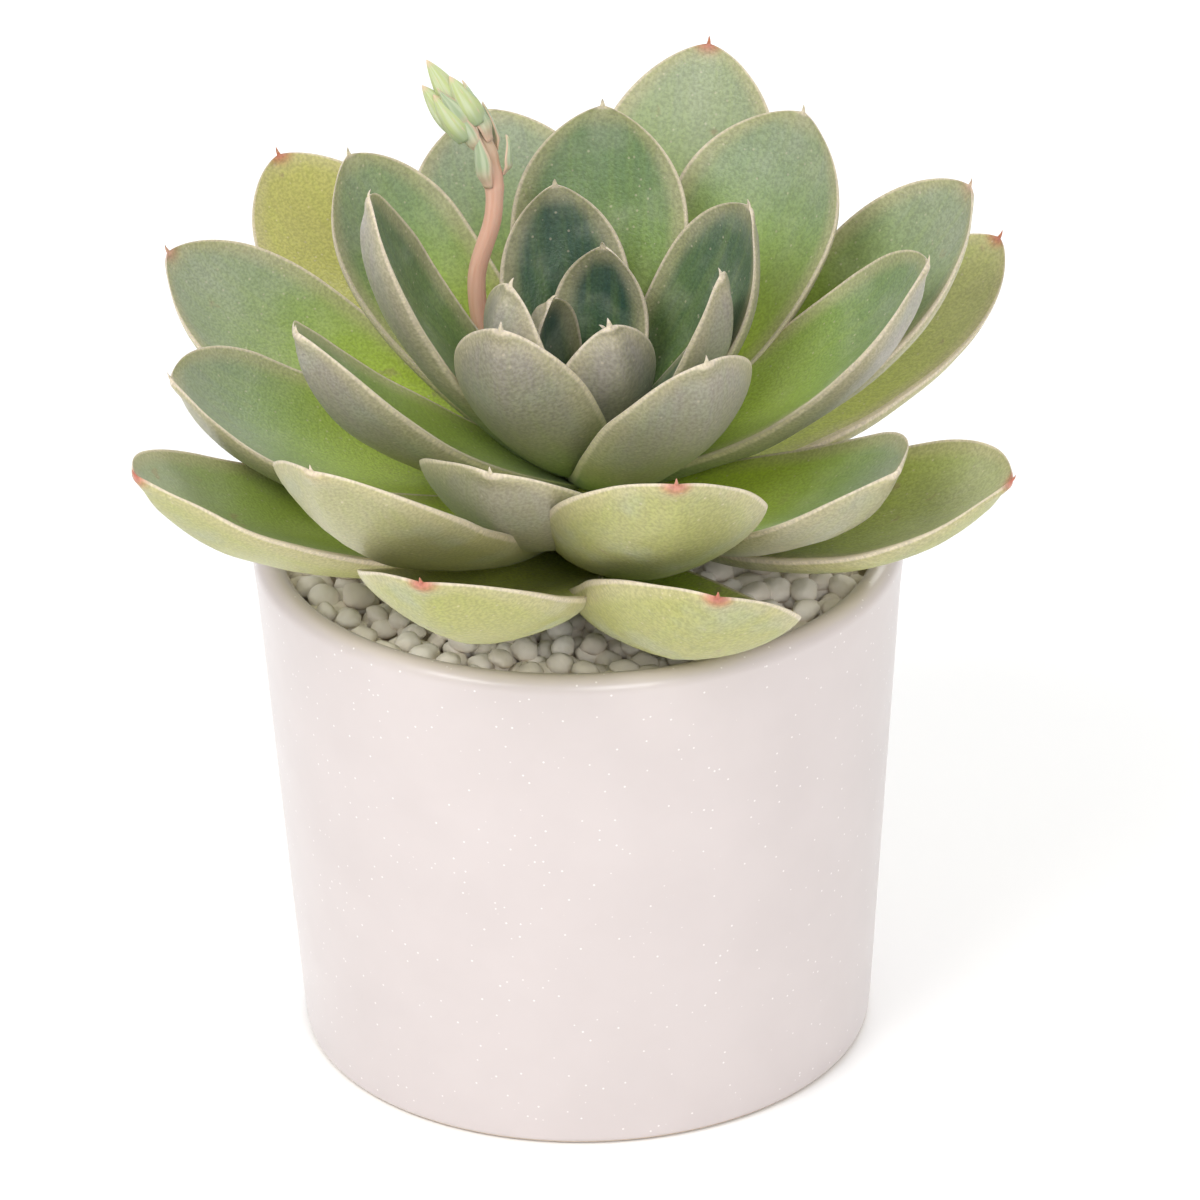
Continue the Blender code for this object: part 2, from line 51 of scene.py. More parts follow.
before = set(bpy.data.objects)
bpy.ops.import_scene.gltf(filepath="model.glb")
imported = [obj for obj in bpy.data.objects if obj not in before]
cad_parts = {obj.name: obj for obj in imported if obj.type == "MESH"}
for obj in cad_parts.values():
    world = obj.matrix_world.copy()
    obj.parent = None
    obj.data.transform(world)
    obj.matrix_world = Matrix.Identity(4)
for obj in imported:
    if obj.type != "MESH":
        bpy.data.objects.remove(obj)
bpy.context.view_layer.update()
POT_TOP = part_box("pot")[1]
POT_HEIGHT = POT_TOP.z
RIM_RADIUS = POT_TOP.x
GRAVEL_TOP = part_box("gravel_top_dressing")[1].z

# The pot's wall, as in the CAD
FOOT_RADIUS = 46.5 * MM
WALL = 5 * MM
POT_FLOOR = 7 * MM
FOOT_ROUND = 1.5 * MM

# The rosette's rule, as in the CAD
GOLDEN_TURN = 137.5
FIRST_HEADING = 12.5
LAST_PLACE = 36
SHED_PLACES = (30, 31, 33, 34, 35)
CROWN_RISE = 20 * MM
LEAF_STEP = 0.55 * MM
INNER_START = 1.5 * MM
OUTER_START = 9 * MM
LEAN = 7
LEAN_HEADING = 252
CROWN_OFFSET = 2 * MM
INNER_LEAF_LENGTH = 18 * MM
OUTER_LEAF_LENGTH = 84 * MM
FULL_LENGTH_PLACE = 25
INNER_LEAF_WIDTH = 9 * MM
OUTER_LEAF_WIDTH = 34 * MM
FULL_WIDTH_PLACE = 16
LEAF_THICKNESS = 6.2 * MM
INNER_THICKNESS_SHARE = 0.6
INNER_RISE = 70
OUTER_RISE = 10
LOW_PLACE = 26
LENGTH_POWER = 0.75
WIDTH_POWER = 0.55
RISE_POWER = 0.6
START_POWER = 0.7
LEAF_CURL = 36
CURL_POWER = 2.2
LEAF_FOLD = 25
INNER_BASE_SHARE = 0.6
OUTER_BASE_SHARE = 0.36
INNER_WIDEST_AT = 0.5
OUTER_WIDEST_AT = 0.68
NECK_EASE = 1.25
END_FULLNESS = 2.3
END_ROUNDNESS = 1.5
THIN_TIP_SHARE = 0.12
NECK_THICKNESS_SHARE = 0.55
BASE_FOLD_SHARE = 0.45
FOLD_GAIN = 0.75
GOLDEN_PLACES = {26: 0.25, 27: 0.75, 28: 0.5, 29: 0.45}  # old leaves that turn yellow, and how far
DEPARTURES = {
    1: {"lift": 12},
    2: {"turn": 10, "lift": 3, "wide": 1.1},
    3: {"turn": 5, "lift": 4, "long": 0.95, "wide": 0.88},
    4: {"turn": 8, "lift": 14, "fold": -15},
    5: {"long": 1.1, "fold": -15},
    6: {"turn": -21, "lift": 4, "wide": 0.9},
    7: {"turn": -12, "lift": 6},
    8: {"turn": -10, "lift": 3, "wide": 1.1},
    9: {"turn": 9, "lift": 12, "long": 1.18, "wide": 0.9},
    10: {"turn": -6},
    11: {"turn": -3, "lift": 5, "long": 1.04},
    12: {"turn": -14, "long": 1.1},
    13: {"turn": -5, "lift": -5, "long": 1.1},
    14: {"turn": -1, "lift": 3, "wide": 0.84},
    15: {"turn": -19, "lift": -3, "roll": -8},
    16: {"turn": -7, "lift": 5},
    17: {"lift": -8, "wide": 1.1},
    18: {"turn": -5, "lift": -11, "long": 0.87},
    19: {"turn": -3, "lift": -6},
    20: {"turn": -4, "lift": 4, "long": 1.17},
    21: {"lift": 4, "long": 0.97},
    22: {"long": 0.94},
    23: {"turn": -13, "lift": 10, "roll": -10},
    24: {"lift": 6, "wide": 0.95},
    25: {"lift": 3, "long": 0.97},
    26: {"turn": -8, "lift": -7, "long": 0.8},
    27: {"lift": -2, "wide": 0.95},
    28: {"turn": -11, "lift": 6, "long": 0.95},
    29: {"turn": -6, "lift": -7, "long": 0.94, "wide": 0.86},
    32: {"lift": -14, "long": 0.9},
    36: {"turn": 3, "lift": 6, "long": 0.9, "roll": -22},
}

# The flower stalk, as in the CAD. Its route is in mm from the crown's foot: right, away, up.
# A bract has its place along it, heading, opening, length and width in mm. A bud has how far below
# the stalk's end it stands in mm, heading, opening and length in mm.
STALK_ROUTE_MM = (
    (-3, 3.5, 16),
    (-8.5, 8.5, 20),
    (-14, 12.5, 28),
    (-15.5, 14, 39),
    (-12.5, 15, 50),
    (-13, 17, 59),
    (-17, 18.5, 65.5),
)
STALK_RADIUS = 1.55 * MM
STALK_CLEARANCE = 0.3 * MM
BRACTS = (
    (0.74, 225, 8, 11, 3.8),
    (0.77, 0, 11, 6.5, 2.6),
    (0.84, 40, 6, 8, 2.6),
    (0.86, 235, 8, 11, 3.6),
    (0.88, 325, 8, 11, 3.3),
    (0.95, 265, 7, 9, 3.5),
)
BRACT_THICKNESS = 1.3 * MM
BRACT_KEEL = 0.25 * MM
BRACT_CURL = 0.3 * MM  # how far its tip turns in
BUDS = (
    (0, 0, 0, 11),
    (1.5, 185, 6, 9.5),
    (3, 225, 6, 9),
    (2, 320, 3, 9),
    (2.5, 100, 6, 9),
)
BUD_RADIUS = 2.1 * MM
STALK_LENGTH_MM = 80  # these two only scale the pattern of the skin
SKIN_MM = 1.5

# How fine the shown surfaces are
BLADE_STATIONS = 46
SPUR_STATIONS = 7
FACE_POINTS = 21
POT_STEPS = 192
STALK_STATIONS = 90
STALK_SIDES = 20
SMALL_SECTIONS = 22
LAST_SECTION = 0.985
SMALL_SIDES = 20


# Small helpers


def linear(hex_colour):
    """An sRGB hex colour as linear red, green, blue and 1."""
    channels = [int(hex_colour[i : i + 2], 16) / 255 for i in (0, 2, 4)]
    return (*[c / 12.92 if c <= 0.04045 else ((c + 0.055) / 1.055) ** 2.4 for c in channels], 1)


def growth(place, full_place, power):
    return min(1, place / full_place) ** power


def between(low, high, share):
    return low + (high - low) * share


def ease(low, high, value):
    """0 below low, 1 above high, and smooth in between."""
    share = np.clip((value - low) / (high - low), 0, 1)
    return share * share * (3 - 2 * share)


def turns(count):
    """This many headings evenly round a circle, in radians."""
    return np.linspace(0, 2 * math.pi, count, endpoint=False)


def leaf_places():
    return [place for place in range(LAST_PLACE + 1) if place not in SHED_PLACES]


def node_name(place):
    return f"leaf_{leaf_places().index(place) + 1:02d}"


def add_object(name, data):
    made = bpy.data.objects.new(name, data)
    bpy.context.scene.collection.objects.link(made)
    return made


def add_piece(name, points, faces, material, traits=()):
    """A smooth mesh from points and faces, with a named number or vector at each point."""
    mesh = bpy.data.meshes.new(name)
    mesh.from_pydata([tuple(point) for point in points], [], faces)
    for trait, values in dict(traits).items():
        values = np.asarray(values, np.float32)
        kind, field = ("FLOAT_VECTOR", "vector") if values.ndim == 2 else ("FLOAT", "value")
        attribute = mesh.attributes.new(trait, kind, "POINT")
        attribute.data.foreach_set(field, values.ravel())
    mesh.shade_smooth()
    mesh.materials.append(material)
    return add_object(name, mesh)


def ring_faces(rings, around, start=0):
    """Quads between rings of as many points each."""
    faces = []
    for ring in range(rings - 1):
        low = start + ring * around
        for i in range(around):
            j = (i + 1) % around
            faces.append((low + i, low + j, low + around + j, low + around + i))
    return faces


def closed_loft(rings, tip):
    """Points and faces of a body with a flat foot and its last ring drawn to a tip."""
    count, around = len(rings), len(rings[0])
    points = [point for ring in rings for point in ring] + [tip]
    faces = ring_faces(count, around)
    faces.append(tuple(range(around))[::-1])
    last = (count - 1) * around
    end = count * around
    faces += [(last + i, last + (i + 1) % around, end) for i in range(around)]
    return points, faces


def add_node(tree, kind, settings=(), inputs=(), output=0):
    """Adds a shader node, sets it, sets or links its inputs, and gives back one of its outputs."""
    made = tree.nodes.new(kind)
    for name, value in dict(settings).items():
        setattr(made, name, value)
    for socket, value in dict(inputs).items():
        if isinstance(value, bpy.types.NodeSocket):
            tree.links.new(value, made.inputs[socket])
        else:
            made.inputs[socket].default_value = value
    return made.outputs[output] if made.outputs else made


def new_finish(name):
    """An empty material, and the node tree that its finish is built in."""
    material = bpy.data.materials.new(name)
    material.use_nodes = True
    material.node_tree.nodes.clear()
    return material, material.node_tree


# Finishes


OUTPUT = "ShaderNodeOutputMaterial"
PRINCIPLED = "ShaderNodeBsdfPrincipled"
BUMP = "ShaderNodeBump"
COORDINATES = "ShaderNodeTexCoord"
STRETCH = "ShaderNodeMapping"
ATTRIBUTE = "ShaderNodeAttribute"
NOISE = "ShaderNodeTexNoise"
CELLS = "ShaderNodeTexVoronoi"
RANGE = "ShaderNodeMapRange"
MIX = "ShaderNodeMix"
MATH = "ShaderNodeMath"
SMOOTH = {"interpolation_type": "SMOOTHSTEP"}
BLEND = {"data_type": "RGBA"}
DARKEN = {"data_type": "RGBA", "blend_type": "MULTIPLY"}
PRODUCT = {"operation": "MULTIPLY"}
SUM = {"operation": "ADD"}
LEAF_TRAITS = ("along", "rim_mm", "under", "tip_mm", "age", "red", "gold")


def paint(tree, colour, coats):
    """Lays coats over a colour. A coat is its colour, then one or two things that its share follows.

    Each is a value, where the share starts and ends along it and, where that isn't 0 and 1, how
    small and how large the share is there.
    """
    for coat, *follows in coats:
        share, *others = [add_node(tree, RANGE, SMOOTH, dict(enumerate(each))) for each in follows]
        for other in others:
            share = add_node(tree, MATH, PRODUCT, {0: share, 1: other})
        colour = add_node(tree, MIX, BLEND, {0: share, 6: colour, 7: tuple(coat)}, 2)
    return colour


def leaf_finish(plant):
    """Living succulent leaf: green flesh under a thin waxy bloom.

    The bloom greys and blues the green, and is patchy where it was rubbed. The flesh lets light
    through at the base and along the thin margin, which look lime and cream.
    """
    material, tree = new_finish("Succulent leaf, waxy bloom")
    place = add_node(tree, ATTRIBUTE, {"attribute_name": "leaf_mm"}, output="Vector")
    along, rim, under, tip, age, red, gold = [
        add_node(tree, ATTRIBUTE, {"attribute_name": f"leaf_{name}"}, output="Fac") for name in LEAF_TRAITS
    ]
    patch_mm, scar_mm, grain_mm, wrinkle_mm, dot_mm, streak_mm = 9, 6, 0.5, 1.1, 1.9, (1.3, 16)
    patches, scars, grain = [
        add_node(tree, NOISE, {}, {"Vector": place, "Scale": 1 / size_mm, "Detail": detail})
        for size_mm, detail in ((patch_mm, 3), (scar_mm, 4), (grain_mm, 2))
    ]
    wrinkles_at = {"Vector": place, "Scale": 1 / wrinkle_mm, "Detail": 2, "Distortion": 1.4}
    wrinkles = add_node(tree, NOISE, {}, wrinkles_at)
    streaks_at = {"Vector": place, "Scale": (1 / streak_mm[0], 1 / streak_mm[1], 1)}
    streaks_at = add_node(tree, STRETCH, {}, streaks_at)
    streaks = add_node(tree, NOISE, {}, {"Vector": streaks_at, "Scale": 1, "Detail": 2})
    dots = add_node(tree, CELLS, {}, {"Vector": place, "Scale": 1 / dot_mm})

    # The upper side: dark in the centre, grey-green further out, lime at the base
    coats = (
        (plant.middle, (age, 0.12, 0.4)),
        (plant.outer, (age, 0.5, 0.8)),
        (plant.bloom, (patches, 0.42, 0.7, 0, 0.28)),
        (plant.bloom, (along, 0.55, 1, 0, 0.6), (age, 0.3, 0.5, 0.15, 1)),
        (plant.lime, (along, 0.85, 0.3), (age, 0.2, 0.45, 0.1, 0.95)),
    )
    upper = paint(tree, tuple(plant.inner), coats)
    upper = add_node(tree, MIX, BLEND, {0: gold, 6: upper, 7: tuple(plant.gold)}, 2)

    # The underside: lilac-grey on young leaves, olive-gold on old ones
    coats = (
        (plant.outer_under, (age, 0.3, 0.75)),
        (plant.bloom, (patches, 0.45, 0.75, 0, 0.5)),
        (plant.middle, (along, 0.5, 0.1, 0, 0.6)),
    )
    lower = paint(tree, tuple(plant.inner_under), coats)
    share = add_node(tree, RANGE, SMOOTH, {0: under, 1: 0.35, 2: 0.65})
    flesh = add_node(tree, MIX, BLEND, {0: share, 6: upper, 7: lower}, 2)

    # Streaks along the leaf, dry scars, the warm band inside the margin, the margin and the tip
    coats = (
        (plant.lime, (streaks, 0.35, 0.75, 0, 0.08)),
        (plant.scar, (scars, 0.66, 0.72, 0, 0.55), (age, 0.4, 0.7)),
        (plant.halo, (rim, 4.5, 0.8, 0, 0.5), (along, 0.1, 0.5)),
        (plant.margin, (rim, 0.7, 0.2, 0, 0.75), (along, 0, 0.3, 0.3, 1)),
        (plant.margin, (tip, 2.6, 0.6, 0, 0.8)),
    )
    flesh = paint(tree, flesh, coats)
    near_tip = add_node(tree, RANGE, SMOOTH, {0: tip, 1: 4.2, 2: 1, 4: 0.85})
    share = add_node(tree, MATH, PRODUCT, {0: near_tip, 1: red})
    flesh = add_node(tree, MIX, BLEND, {0: share, 6: flesh, 7: tuple(plant.red)}, 2)

    # Fine pale dots of wax, and a fine grain that both colour and relief share
    flesh = paint(tree, flesh, [(plant.margin, (dots, 0.14, 0.08, 0, 0.3))])
    shade = add_node(tree, RANGE, SMOOTH, {0: grain, 1: 0.3, 2: 0.7, 3: 0.84, 4: 1.12})
    grey = add_node(tree, "ShaderNodeCombineColor", {}, {0: shade, 1: shade, 2: shade})
    flesh = add_node(tree, MIX, DARKEN, {0: 1, 6: flesh, 7: grey}, 2)
    height = add_node(tree, MATH, SUM, {0: wrinkles, 1: grain})
    relief = {"Height": height, "Distance": 0.09 * MM, "Strength": 0.7}
    skin = {
        "Base Color": flesh,
        "Roughness": add_node(tree, RANGE, SMOOTH, {0: patches, 1: 0.35, 2: 0.7, 3: 0.36, 4: 0.55}),
        "Normal": add_node(tree, BUMP, {}, relief),
        "IOR": 1.42,
        "Subsurface Weight": 0.15,
        "Subsurface Radius": (0.9, 1.0, 0.35),
        "Subsurface Scale": 2 * MM,
        "Sheen Weight": 0.06,
        "Sheen Roughness": 0.45,
        "Sheen Tint": linear("DDE6E2"),
    }
    add_node(tree, OUTPUT, {}, {"Surface": add_node(tree, PRINCIPLED, {}, skin)})
    return material


def glaze_finish(pot):
    """Stoneware dipped in a pale pink-white glaze: a soft shine over a very even colour.

    Fine pale specks are painted glints, standing for the glaze's sparkle. The lip is a little paler: the
    glaze runs thin there, and the lighter colour is also painted light over the shade on the rim. The foot is
    left bare.
    """
    material, tree = new_finish("Stoneware, satin pale glaze")
    spot = add_node(tree, COORDINATES, output="Object")
    height = add_node(tree, "ShaderNodeSeparateXYZ", {}, {0: spot}, 2)
    cloud_mm, glint_mm, orange_peel_mm = 14, 1.9, 2.4
    cloud = add_node(tree, NOISE, {}, {"Vector": spot, "Scale": 1 / (cloud_mm * MM), "Detail": 3})
    glint_spots = add_node(tree, CELLS, {}, {"Vector": spot, "Scale": 1 / (glint_mm * MM)})
    peel = add_node(tree, NOISE, {}, {"Vector": spot, "Scale": 1 / (orange_peel_mm * MM), "Detail": 1})
    painted_light_lip_mm, painted_glint, bare_mm = 1.2, linear("FBF6F4"), (0.9, 0.5)
    coats = (
        (pot.glaze_thin, (cloud, 0.2, 0.8)),
        # Paler lip: the glaze runs thin there, and the colour is also lightened as painted light over the
        # shade on the rim
        (pot.lip, (height, POT_HEIGHT - painted_light_lip_mm * MM, POT_HEIGHT, 0, 0.7)),
        # Painted glints: fine pale specks that stand for the glaze's sparkle
        (painted_glint, (glint_spots, 0.12, 0.06, 0, 0.6)),
        (pot.bare_clay, (height, bare_mm[0] * MM, bare_mm[1] * MM)),
    )
    colour = paint(tree, tuple(pot.glaze), coats)
    relief = {"Height": peel, "Distance": 0.01 * MM, "Strength": 0.3}
    skin = {
        "Base Color": colour,
        "Roughness": add_node(tree, RANGE, SMOOTH, {0: cloud, 1: 0.2, 2: 0.8, 3: 0.28, 4: 0.33}),
        "Normal": add_node(tree, BUMP, {}, relief),
        "IOR": 1.5,
        "Coat Weight": 0.2,
        "Coat Roughness": 0.12,
        "Subsurface Weight": 0.05,
        "Subsurface Radius": (1.0, 0.8, 0.7),
        "Subsurface Scale": 1.5 * MM,
    }
    add_node(tree, OUTPUT, {}, {"Surface": add_node(tree, PRINCIPLED, {}, skin)})
    return material


def stone_finish(gravel):
    """Tumbled pale limestone gravel: chalky and matt, white to cream, with tan painted shade low down on each
    stone.
    """
    material, tree = new_finish("Limestone gravel, tumbled")
    spot = add_node(tree, COORDINATES, output="Object")
    low, tint = [
        add_node(tree, ATTRIBUTE, {"attribute_name": name}, output="Fac")
        for name in ("stone_low", "stone_tint")
    ]
    cloud_mm, pit_mm = 2.5, 0.6
    cloud = add_node(tree, NOISE, {}, {"Vector": spot, "Scale": 1 / (cloud_mm * MM), "Detail": 4})
    pits = add_node(tree, NOISE, {}, {"Vector": spot, "Scale": 1 / (pit_mm * MM), "Detail": 3})
    colour = add_node(tree, MIX, BLEND, {0: tint, 6: tuple(gravel.pale), 7: tuple(gravel.warm)}, 2)
    coats = (
        (gravel.warm, (cloud, 0.45, 0.75, 0, 0.5)),
        # Painted shade: tan, low on each stone and all over the bed, where the stones shade each other
        (gravel.painted_shade, (low, 0.6, 1, 0, 0.7)),
    )
    colour = paint(tree, colour, coats)
    height = add_node(tree, MATH, SUM, {0: cloud, 1: pits})
    relief = {"Height": height, "Distance": 0.12 * MM, "Strength": 0.6}
    skin = {
        "Base Color": colour,
        "Roughness": add_node(tree, RANGE, SMOOTH, {0: pits, 1: 0.3, 2: 0.7, 3: 0.7, 4: 0.9}),
        "Normal": add_node(tree, BUMP, {}, relief),
        "IOR": 1.5,
    }
    add_node(tree, OUTPUT, {}, {"Surface": add_node(tree, PRINCIPLED, {}, skin)})
    return material


def mix_finish(gravel):
    """Potting mix of bark and peat: dark, crumbly and quite without shine."""
    material, tree = new_finish("Potting mix, bark and peat")
    spot = add_node(tree, COORDINATES, output="Object")
    crumb_mm, fibre_mm = 3, 0.8
    crumbs = add_node(tree, NOISE, {}, {"Vector": spot, "Scale": 1 / (crumb_mm * MM), "Detail": 5})
    fibres = add_node(tree, CELLS, {}, {"Vector": spot, "Scale": 1 / (fibre_mm * MM)})
    colour = add_node(tree, MIX, BLEND, {0: crumbs, 6: tuple(gravel.peat), 7: tuple(gravel.bark)}, 2)
    skin = {
        "Base Color": colour,
        "Roughness": add_node(tree, RANGE, {}, {0: crumbs, 3: 0.8, 4: 1}),
        "Normal": add_node(tree, BUMP, {}, {"Height": fibres, "Distance": 0.5 * MM}),
    }
    add_node(tree, OUTPUT, {}, {"Surface": add_node(tree, PRINCIPLED, {}, skin)})
    return material


def stem_finish(plant):
    """Old succulent stem: dry corky skin, grey-brown and matt, green where it is young."""
    material, tree = new_finish("Corky stem skin")
    spot = add_node(tree, COORDINATES, output="Object")
    height = add_node(tree, "ShaderNodeSeparateXYZ", {}, {0: spot}, 2)
    bark_mm = 1.2
    bark = add_node(tree, NOISE, {}, {"Vector": spot, "Scale": 1 / (bark_mm * MM), "Detail": 4})
    young = add_node(tree, RANGE, {}, {0: height, 1: POT_HEIGHT, 2: POT_HEIGHT + CROWN_RISE})
    colour = add_node(tree, MIX, BLEND, {0: bark, 6: tuple(plant.cork), 7: tuple(plant.scar)}, 2)
    colour = add_node(tree, MIX, BLEND, {0: young, 6: colour, 7: tuple(plant.lime)}, 2)
    skin = {
        "Base Color": colour,
        "Roughness": add_node(tree, RANGE, {}, {0: bark, 3: 0.7, 4: 0.95}),
        "Normal": add_node(tree, BUMP, {}, {"Height": bark, "Distance": 0.25 * MM}),
    }
    add_node(tree, OUTPUT, {}, {"Surface": add_node(tree, PRINCIPLED, {}, skin)})
    return material


def stalk_finish(flower):
    """Young flower stalk: salmon-pink skin with a light bloom, paler and greener at the top."""
    material, tree = new_finish("Flower stalk skin, light bloom")
    place = add_node(tree, ATTRIBUTE, {"attribute_name": "stalk_mm"}, output="Vector")
    along = add_node(tree, ATTRIBUTE, {"attribute_name": "stalk_along"}, output="Fac")
    bloom_mm, streak_mm = 2.2, (0.5, 9)
    streaks_at = {"Vector": place, "Scale": (1 / streak_mm[0], 1 / streak_mm[1], 1)}
    streaks_at = add_node(tree, STRETCH, {}, streaks_at)
    streaks = add_node(tree, NOISE, {}, {"Vector": streaks_at, "Scale": 1, "Detail": 2})
    bloom = add_node(tree, NOISE, {}, {"Vector": place, "Scale": 1 / bloom_mm, "Detail": 3})
    colour = add_node(tree, MIX, BLEND, {0: streaks, 6: tuple(flower.stalk), 7: tuple(flower.stalk_pale)}, 2)
    colour = paint(tree, colour, [(flower.bract, (along, 0.7, 1, 0, 0.6))])
    relief = {"Height": streaks, "Distance": 0.08 * MM, "Strength": 0.5}
    skin = {
        "Base Color": colour,
        "Roughness": add_node(tree, RANGE, {}, {0: bloom, 3: 0.4, 4: 0.62}),
        "Normal": add_node(tree, BUMP, {}, relief),
        "IOR": 1.42,
        "Subsurface Weight": 0.2,
        "Subsurface Radius": (1.0, 0.5, 0.3),
        "Subsurface Scale": 1 * MM,
        "Sheen Weight": 0.15,
    }
    add_node(tree, OUTPUT, {}, {"Surface": add_node(tree, PRINCIPLED, {}, skin)})
    return material


def young_tissue_finish(flower, name, body, base):
    """Bracts and buds: thin young leaf tissue, pale green with fine lines and a cream-pink edge."""
    material, tree = new_finish(name)
    place = add_node(tree, ATTRIBUTE, {"attribute_name": "bract_mm"}, output="Vector")
    rim, along = [
        add_node(tree, ATTRIBUTE, {"attribute_name": trait}, output="Fac")
        for trait in ("bract_rim", "bract_along")
    ]
    line_mm = (0.35, 8)
    lines_at = {"Vector": place, "Scale": (1 / line_mm[0], 1 / line_mm[1], 1)}
    lines_at = add_node(tree, STRETCH, {}, lines_at)
    lines = add_node(tree, NOISE, {}, {"Vector": lines_at, "Scale": 1, "Detail": 2})
    coats = (
        (flower.lines, (lines, 0.35, 0.7, 0, 0.7)),
        (base, (along, 0.4, 0, 0, 0.85)),
        (flower.edge, (rim, 0.55, 0.95, 0, 0.8)),
        (flower.edge, (along, 0.85, 1, 0, 0.7)),
    )
    colour = paint(tree, body, coats)
    relief = {"Height": lines, "Distance": 0.08 * MM, "Strength": 0.6}
    skin = {
        "Base Color": colour,
        "Roughness": add_node(tree, RANGE, SMOOTH, {0: lines, 1: 0.3, 2: 0.7, 3: 0.45, 4: 0.6}),
        "Normal": add_node(tree, BUMP, {}, relief),
        "IOR": 1.42,
        "Subsurface Weight": 0.2,
        "Subsurface Radius": (0.8, 1.0, 0.3),
        "Subsurface Scale": 0.8 * MM,
        "Sheen Weight": 0.12,
    }
    add_node(tree, OUTPUT, {}, {"Surface": add_node(tree, PRINCIPLED, {}, skin)})
    return material


# The leaves


def leaf_start(place):
    return between(INNER_START, OUTER_START, growth(place, LAST_PLACE, START_POWER))


def leaf_values(place):
    """The size and pose of the leaf at this place, by the CAD's rule."""
    own = DEPARTURES.get(place, {})
    length = between(INNER_LEAF_LENGTH, OUTER_LEAF_LENGTH, growth(place, FULL_LENGTH_PLACE, LENGTH_POWER))
    width = between(INNER_LEAF_WIDTH, OUTER_LEAF_WIDTH, growth(place, FULL_WIDTH_PLACE, WIDTH_POWER))
    rise = between(INNER_RISE, OUTER_RISE, growth(place, LOW_PLACE, RISE_POWER))
    fleshy = growth(place, FULL_WIDTH_PLACE, 1)
    return {
        "place": place,
        "heading": FIRST_HEADING + GOLDEN_TURN * place + own.get("turn", 0),
        "rise": rise + own.get("lift", 0),
        "fold": LEAF_FOLD + own.get("fold", 0),
        "roll": own.get("roll", 0),
        "length": length * own.get("long", 1),
        "width": width * own.get("wide", 1),
        "thickness": LEAF_THICKNESS * between(INNER_THICKNESS_SHARE, 1, fleshy),
        "base_share": between(INNER_BASE_SHARE, OUTER_BASE_SHARE, fleshy),
        "widest_at": between(INNER_WIDEST_AT, OUTER_WIDEST_AT, fleshy),
        "start": leaf_start(place),
        "height": CROWN_RISE - LEAF_STEP * place,
    }


def half_width_share(leaf, along):
    """The leaf's outline: a neck that widens to its widest place, then a bluntly pointed end."""
    widest_at = leaf["widest_at"]
    neck = np.sin(math.pi / 2 * np.clip(along / widest_at, 0, 1)) ** NECK_EASE
    past = np.clip((along - widest_at) / (1 - widest_at), 0, 1)
    end = (1 - past**END_FULLNESS) ** (1 / END_ROUNDNESS)
    return np.where(along < widest_at, between(leaf["base_share"], 1, neck), end)


def thickness_share(along):
    along = np.clip(along, 0, 1)
    swell = np.sin(math.pi * along**0.8) ** 0.6
    thick = between(NECK_THICKNESS_SHARE, 1, swell) * (1 - along**5)
    return np.maximum(thick, THIN_TIP_SHARE)


def unit(angle_up, heading):
    level = np.cos(angle_up)
    return np.stack([level * math.cos(heading), level * math.sin(heading), np.sin(angle_up)], -1)


SPUR_LENGTH = 1.4 * MM  # the thin point at a leaf's end
SPUR_RADIUS = 0.75 * MM
SPUR_HOOK = 30  # how far the spur turns up
KEEL = 0.9 * MM  # the ridge under a leaf's outer half
CHANNEL = 0.35 * MM  # the shallow groove above the midrib
WAVE = 0.35 * MM  # how far a leaf's faces rise and fall, by chance
WAVE_LENGTH = 11 * MM
EDGE_THICKNESS_SHARE = 0.09  # thinner than in the CAD, whose few sections need more
EDGE_BULGE = 0.45  # how far the margin's middle stands out, as a share of its thickness
LEAST_FLESH = 0.05 * MM
TIP_CROWDING = 1.7  # how much closer the stations stand near the tip
UNDER_SHIFT_MM = 20  # keeps the pattern of a leaf's two sides apart
LEAF_SHIFT_MM = 7.3  # and those of two leaves


def leaf_spine(leaf, along):
    """Points on the midrib, with the leaf's left and upper side at each, past 1 into the spur."""
    end = along[-1]
    fine = np.linspace(0, end, 121)
    angle_up = math.radians(leaf["rise"]) + math.radians(LEAF_CURL) * fine**CURL_POWER
    angle_up += math.radians(SPUR_HOOK) * ease(1, end, fine)
    heading = math.radians(leaf["heading"])
    steps = unit(angle_up, heading)
    middle = (steps[1:] + steps[:-1]) / 2 * leaf["length"] * (fine[1] - fine[0])
    points = np.vstack([np.zeros(3), np.cumsum(middle, axis=0)])
    points += (leaf["start"] * math.cos(heading), leaf["start"] * math.sin(heading), leaf["height"])
    at = np.stack([np.interp(along, fine, points[:, axis]) for axis in range(3)], -1)
    forward = unit(np.interp(along, fine, angle_up), heading)
    left = np.array([-math.sin(heading), math.cos(heading), 0])
    above = np.cross(forward, left)
    twist = math.radians(leaf["roll"]) * np.clip(along * 1.5, 0, 1)
    cos, sin = np.cos(twist)[:, None], np.sin(twist)[:, None]
    return at, cos * left + sin * above, cos * above - sin * left


def crown_matrix():
    """Sets the rosette on the pot at the rim's level, a little aside, and leans it."""
    heading = math.radians(LEAN_HEADING)
    axis = Vector((-math.sin(heading), math.cos(heading), 0))
    place = Matrix.Translation((CROWN_OFFSET, 0, POT_HEIGHT))
    return place @ Matrix.Rotation(math.radians(LEAN), 4, axis)


def wave(points, seed):
    """A smooth chance height at each point."""
    shift = Vector((seed * 0.37, seed * 0.11, 0))
    return np.array([noise.noise(Vector(point) / WAVE_LENGTH + shift) for point in points])


